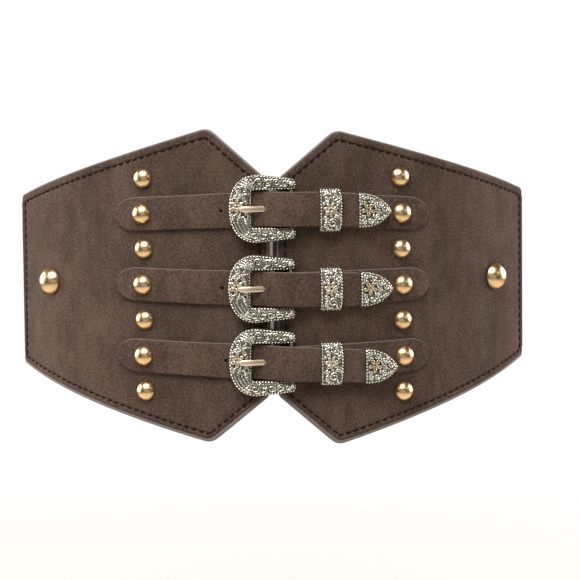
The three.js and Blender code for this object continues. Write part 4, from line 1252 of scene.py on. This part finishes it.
for side in ("left", "right"):
    for number in range(1, 8):
        build_stud(f"stud_{side}_{number}", "stud")
    build_stud(f"end_stud_{side}", "end_stud")

# %% [markdown]
# ## Elastic back
# The band leaves the panels' side edges, turns tightly and runs flat across the back. Its plan is rebuilt
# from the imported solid: the sewn overlap, the turn, then one wide arc. Ribs run up and down it, 2.4 mm apart.

# %% Elastic back
BAND = {"thickness": 1.4, "overlap": 14, "turn_radius": 24, "turn": math.radians(78), "rib": 2.4,
        "rib_depth": 0.18, "selvedge": 5}
PANEL_END = 184.3
CLEARANCE = 0.3


def band_plan():
    """Middle line of one half of the band, x, y and heading, in millimetres before the belt is centred."""
    level = -(PANEL_THICKNESS + CLEARANCE + BAND["thickness"] / 2)
    s = np.linspace(PANEL_END - BAND["overlap"], PANEL_END, 29)
    along = TURN + (s - FRONT_ARC) / SIDE_RADIUS
    x = OFFSET * math.sin(TURN) + (SIDE_RADIUS + level) * np.sin(along)
    y = FRONT_RADIUS - OFFSET * math.cos(TURN) - (SIDE_RADIUS + level) * np.cos(along)
    plan = list(table(x, y, along))

    def follow(radius, end, steps):
        x0, y0, a0 = plan[-1]
        a = np.linspace(a0, end, steps + 1)[1:]
        plan.extend(table(
            x0 + radius * (np.sin(a) - math.sin(a0)), y0 - radius * (np.cos(a) - math.cos(a0)), a))

    follow(BAND["turn_radius"], plan[-1][2] + BAND["turn"], 66)
    follow(plan[-1][0] / math.sin(plan[-1][2]), math.pi, 300)
    return np.array(plan)


def build_band():
    """Band with ribs in front and behind, and soft rounded selvedges."""
    half_plan = band_plan()
    mirrored = half_plan[:-1][::-1] * (-1, 1, -1) + (0, 0, 2 * math.pi)
    plan = np.vstack([half_plan, mirrored])
    along = np.concatenate([[0], np.cumsum(np.hypot(*np.diff(plan[:, :2], axis=0).T))])
    even = np.linspace(0, along[-1], round(along[-1] / (BAND["rib"] / 6)))
    plan = table(*[np.interp(even, along, column) for column in plan.T])
    lowest, highest = [corner.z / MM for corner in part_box("back_band")]
    height, middle = highest - lowest, (highest + lowest) / 2
    edge = np.array([0, 0.12, 0.4, 0.9, 3, 5, 5.4, 6.2])
    across = np.concatenate([edge, np.linspace(7, height - 7, 12), height - edge[::-1]]) - height / 2
    to_edge = height / 2 - np.abs(across)
    half_thick = BAND["thickness"] / 2 * np.sqrt(1 - np.clip(1 - to_edge / 0.7, 0, 1) ** 2)
    rib = BAND["rib_depth"] * (1 - np.abs(np.sin(math.pi * even / BAND["rib"])))[:, None]
    inside = np.clip((to_edge - BAND["selvedge"]) / 0.8, 0, 1)
    out = half_thick - rib * inside - 0.1 * (1 - inside) * (to_edge > 3)
    n = np.hstack([out, -out[:, ::-1]])
    z = np.broadcast_to(np.concatenate([across, across[::-1]]), n.shape)
    x = plan[:, :1] + n * np.sin(plan[:, 2:])
    y = plan[:, 1:2] - n * np.cos(plan[:, 2:]) - FRONT_FACE
    band = make_tube("elastic_band", table(even[:, None], n, z), elastic, "elastic", ["back_band"])
    band.data.vertices.foreach_set("co", (table(x, y, z + middle) * MM).ravel())
    band.data.update()
    return band, along[-1], height


band, band_length, band_height = build_band()
print("elastic cut to", round(band_length), "by", round(band_height), "mm")

# %% [markdown]
# ## The rest of the CAD nodes
# Pieces whose shape is right as packed keep their solid and only get a material.

# %% Carried-over nodes
for name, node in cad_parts.items():
    if node.hide_render:
        continue
    keep_flat(node.data, flatten([v.co for v in node.data.vertices]))
    node.data.materials.clear()
    node.data.materials.append(clasp_patina_and_shade)
    print(name, "gets", clasp_patina_and_shade.name)

# %% [markdown]
# ## Camera
# The photograph's camera stands 1.5 m off and five degrees above the belt's middle, and leans by 0.6 degrees.
# Its focal length and the picture's middle are in pixels of the square picture. The lens and the shift are
# worked out from them, so the render lies over the photograph.

# %% Camera
PICTURE = 580
FOCAL_LENGTH = 2567.28
PICTURE_MIDDLE = (273.03, 287.95)
FRONT_POINT = Vector((0, -FRONT_FACE * MM, 0))
CAMERA_DISTANCE = 1.5
CAMERA_RISE = math.radians(5.16)
CAMERA_ROLL = math.radians(0.638)
camera_data = bpy.data.cameras.new("camera")
camera_data.sensor_width = 36
camera_data.lens = FOCAL_LENGTH / PICTURE * camera_data.sensor_width
camera_data.shift_x = (PICTURE / 2 - PICTURE_MIDDLE[0]) / PICTURE
camera_data.shift_y = (PICTURE_MIDDLE[1] - PICTURE / 2) / PICTURE
camera_data.clip_start, camera_data.clip_end = 0.05, 20
camera = bpy.data.objects.new("camera", camera_data)
bpy.context.scene.collection.objects.link(camera)
back = Vector((0, -math.cos(CAMERA_RISE), math.sin(CAMERA_RISE)))
camera.location = FRONT_POINT + back * CAMERA_DISTANCE
camera.rotation_mode = "QUATERNION"
camera.rotation_quaternion = (-back).to_track_quat("-Z", "Y") @ Quaternion((0, 0, 1), -CAMERA_ROLL)
bpy.context.scene.camera = camera
print("lens in mm:", round(camera_data.lens, 1))

# %% [markdown]
# ## Light
# Leather wants wide soft light from above, so that only the nap and the edges show. Polished metal shows what
# it mirrors, so large soft boxes also stand behind and at both sides, two small windows put a sparkle on the
# studs, and a dim card in front gives the castings something pale to reflect.

# %% Soft boxes
# Name, place and size in metres, power in watts
SOFT_BOXES = [
    ("soft box above", (-0.25, -0.78, 1.15), (1.2, 0.8), 24.5),
    ("soft box left side", (-1.35, 0.4, 0.3), (1.2, 1.0), 27),
    ("soft box right side", (1.35, 0.44, 0.3), (1.2, 1.0), 27),
    ("soft box behind", (0.1, 1.3, 0.9), (1.4, 0.9), 16),
    ("window left", (-0.75, -1.15, 0.6), (0.3, 0.4), 0.7),
    ("window right", (1.0, -0.8, 0.55), (0.3, 0.4), 0.7),
    ("card in front", (0.0, -2.3, -0.02), (2.6, 0.56), 3.4),
]
for name, spot, size, power in SOFT_BOXES:
    data = bpy.data.lights.new(name, "AREA")
    data.shape, data.size, data.size_y, data.energy = "RECTANGLE", *size, power
    light = bpy.data.objects.new(name, data)
    bpy.context.scene.collection.objects.link(light)
    light.location = spot
    light.visible_camera = False
    light.rotation_mode = "QUATERNION"
    light.rotation_quaternion = (FRONT_POINT - Vector(spot)).to_track_quat("-Z", "Y")
print("soft boxes:", len(SOFT_BOXES))

# %% [markdown]
# ## Stage
# A white room would flood the metal with light and wash the leather out. So the studio is dim, and only what
# the camera sees past the floor is white, as paper far behind the belt would be. The floor is matt pale paper
# that thins out into that white, so no horizon line crosses the picture.

# %% World and floor
ROOM_GLOW, PAPER_GLOW = 0.02, 1.02
FLOOR_RADIUS, FLOOR_LEVEL, FLOOR_SIDES = 1.2, -0.3, 96
FLOOR_FADES = (0.35, 1.1)
world = bpy.data.worlds.new("studio")
bpy.context.scene.world = world
world.use_nodes = True
tree = world.node_tree
tree.nodes.clear()
seen = add_node(tree, "LightPath").outputs["Is Camera Ray"]
glow = add_node(tree, "MapRange", {"Value": seen, "To Min": ROOM_GLOW, "To Max": PAPER_GLOW})
white = add_node(tree, "Background", {"Color": linear("ffffff"), "Strength": glow})
add_node(tree, "OutputWorld", {"Surface": white})

paper, tree = new_material("paper pale floor")
position = add_node(tree, "NewGeometry").outputs["Position"]
spread = add_node(tree, "VectorMath", {0: position, 1: (1, 1, 0)}, operation="MULTIPLY")
reach = add_node(tree, "VectorMath", {0: spread}, operation="LENGTH").outputs["Value"]
gone = add_node(tree, "MapRange", {
    "Value": reach, "From Min": FLOOR_FADES[0], "From Max": FLOOR_FADES[1]}, interpolation_type="SMOOTHSTEP")
matt = add_node(tree, "BsdfDiffuse", {"Color": linear("c8c4bd")})
thinned = add_node(tree, "MixShader", {0: gone, 1: matt, 2: add_node(tree, "BsdfTransparent")})
add_node(tree, "OutputMaterial", {"Surface": thinned})
turns = np.arange(FLOOR_SIDES) * 2 * math.pi / FLOOR_SIDES
verts = table(FLOOR_RADIUS * np.cos(turns), FLOOR_RADIUS * np.sin(turns), FLOOR_LEVEL)
floor_mesh = bpy.data.meshes.new("floor")
floor_mesh.from_pydata(verts.tolist(), [], [list(range(FLOOR_SIDES))])
floor_mesh.materials.append(paper)
floor = bpy.data.objects.new("floor", floor_mesh)
bpy.context.scene.collection.objects.link(floor)
bpy.context.scene.view_settings.view_transform = "Standard"
print("floor at", FLOOR_LEVEL, "m")
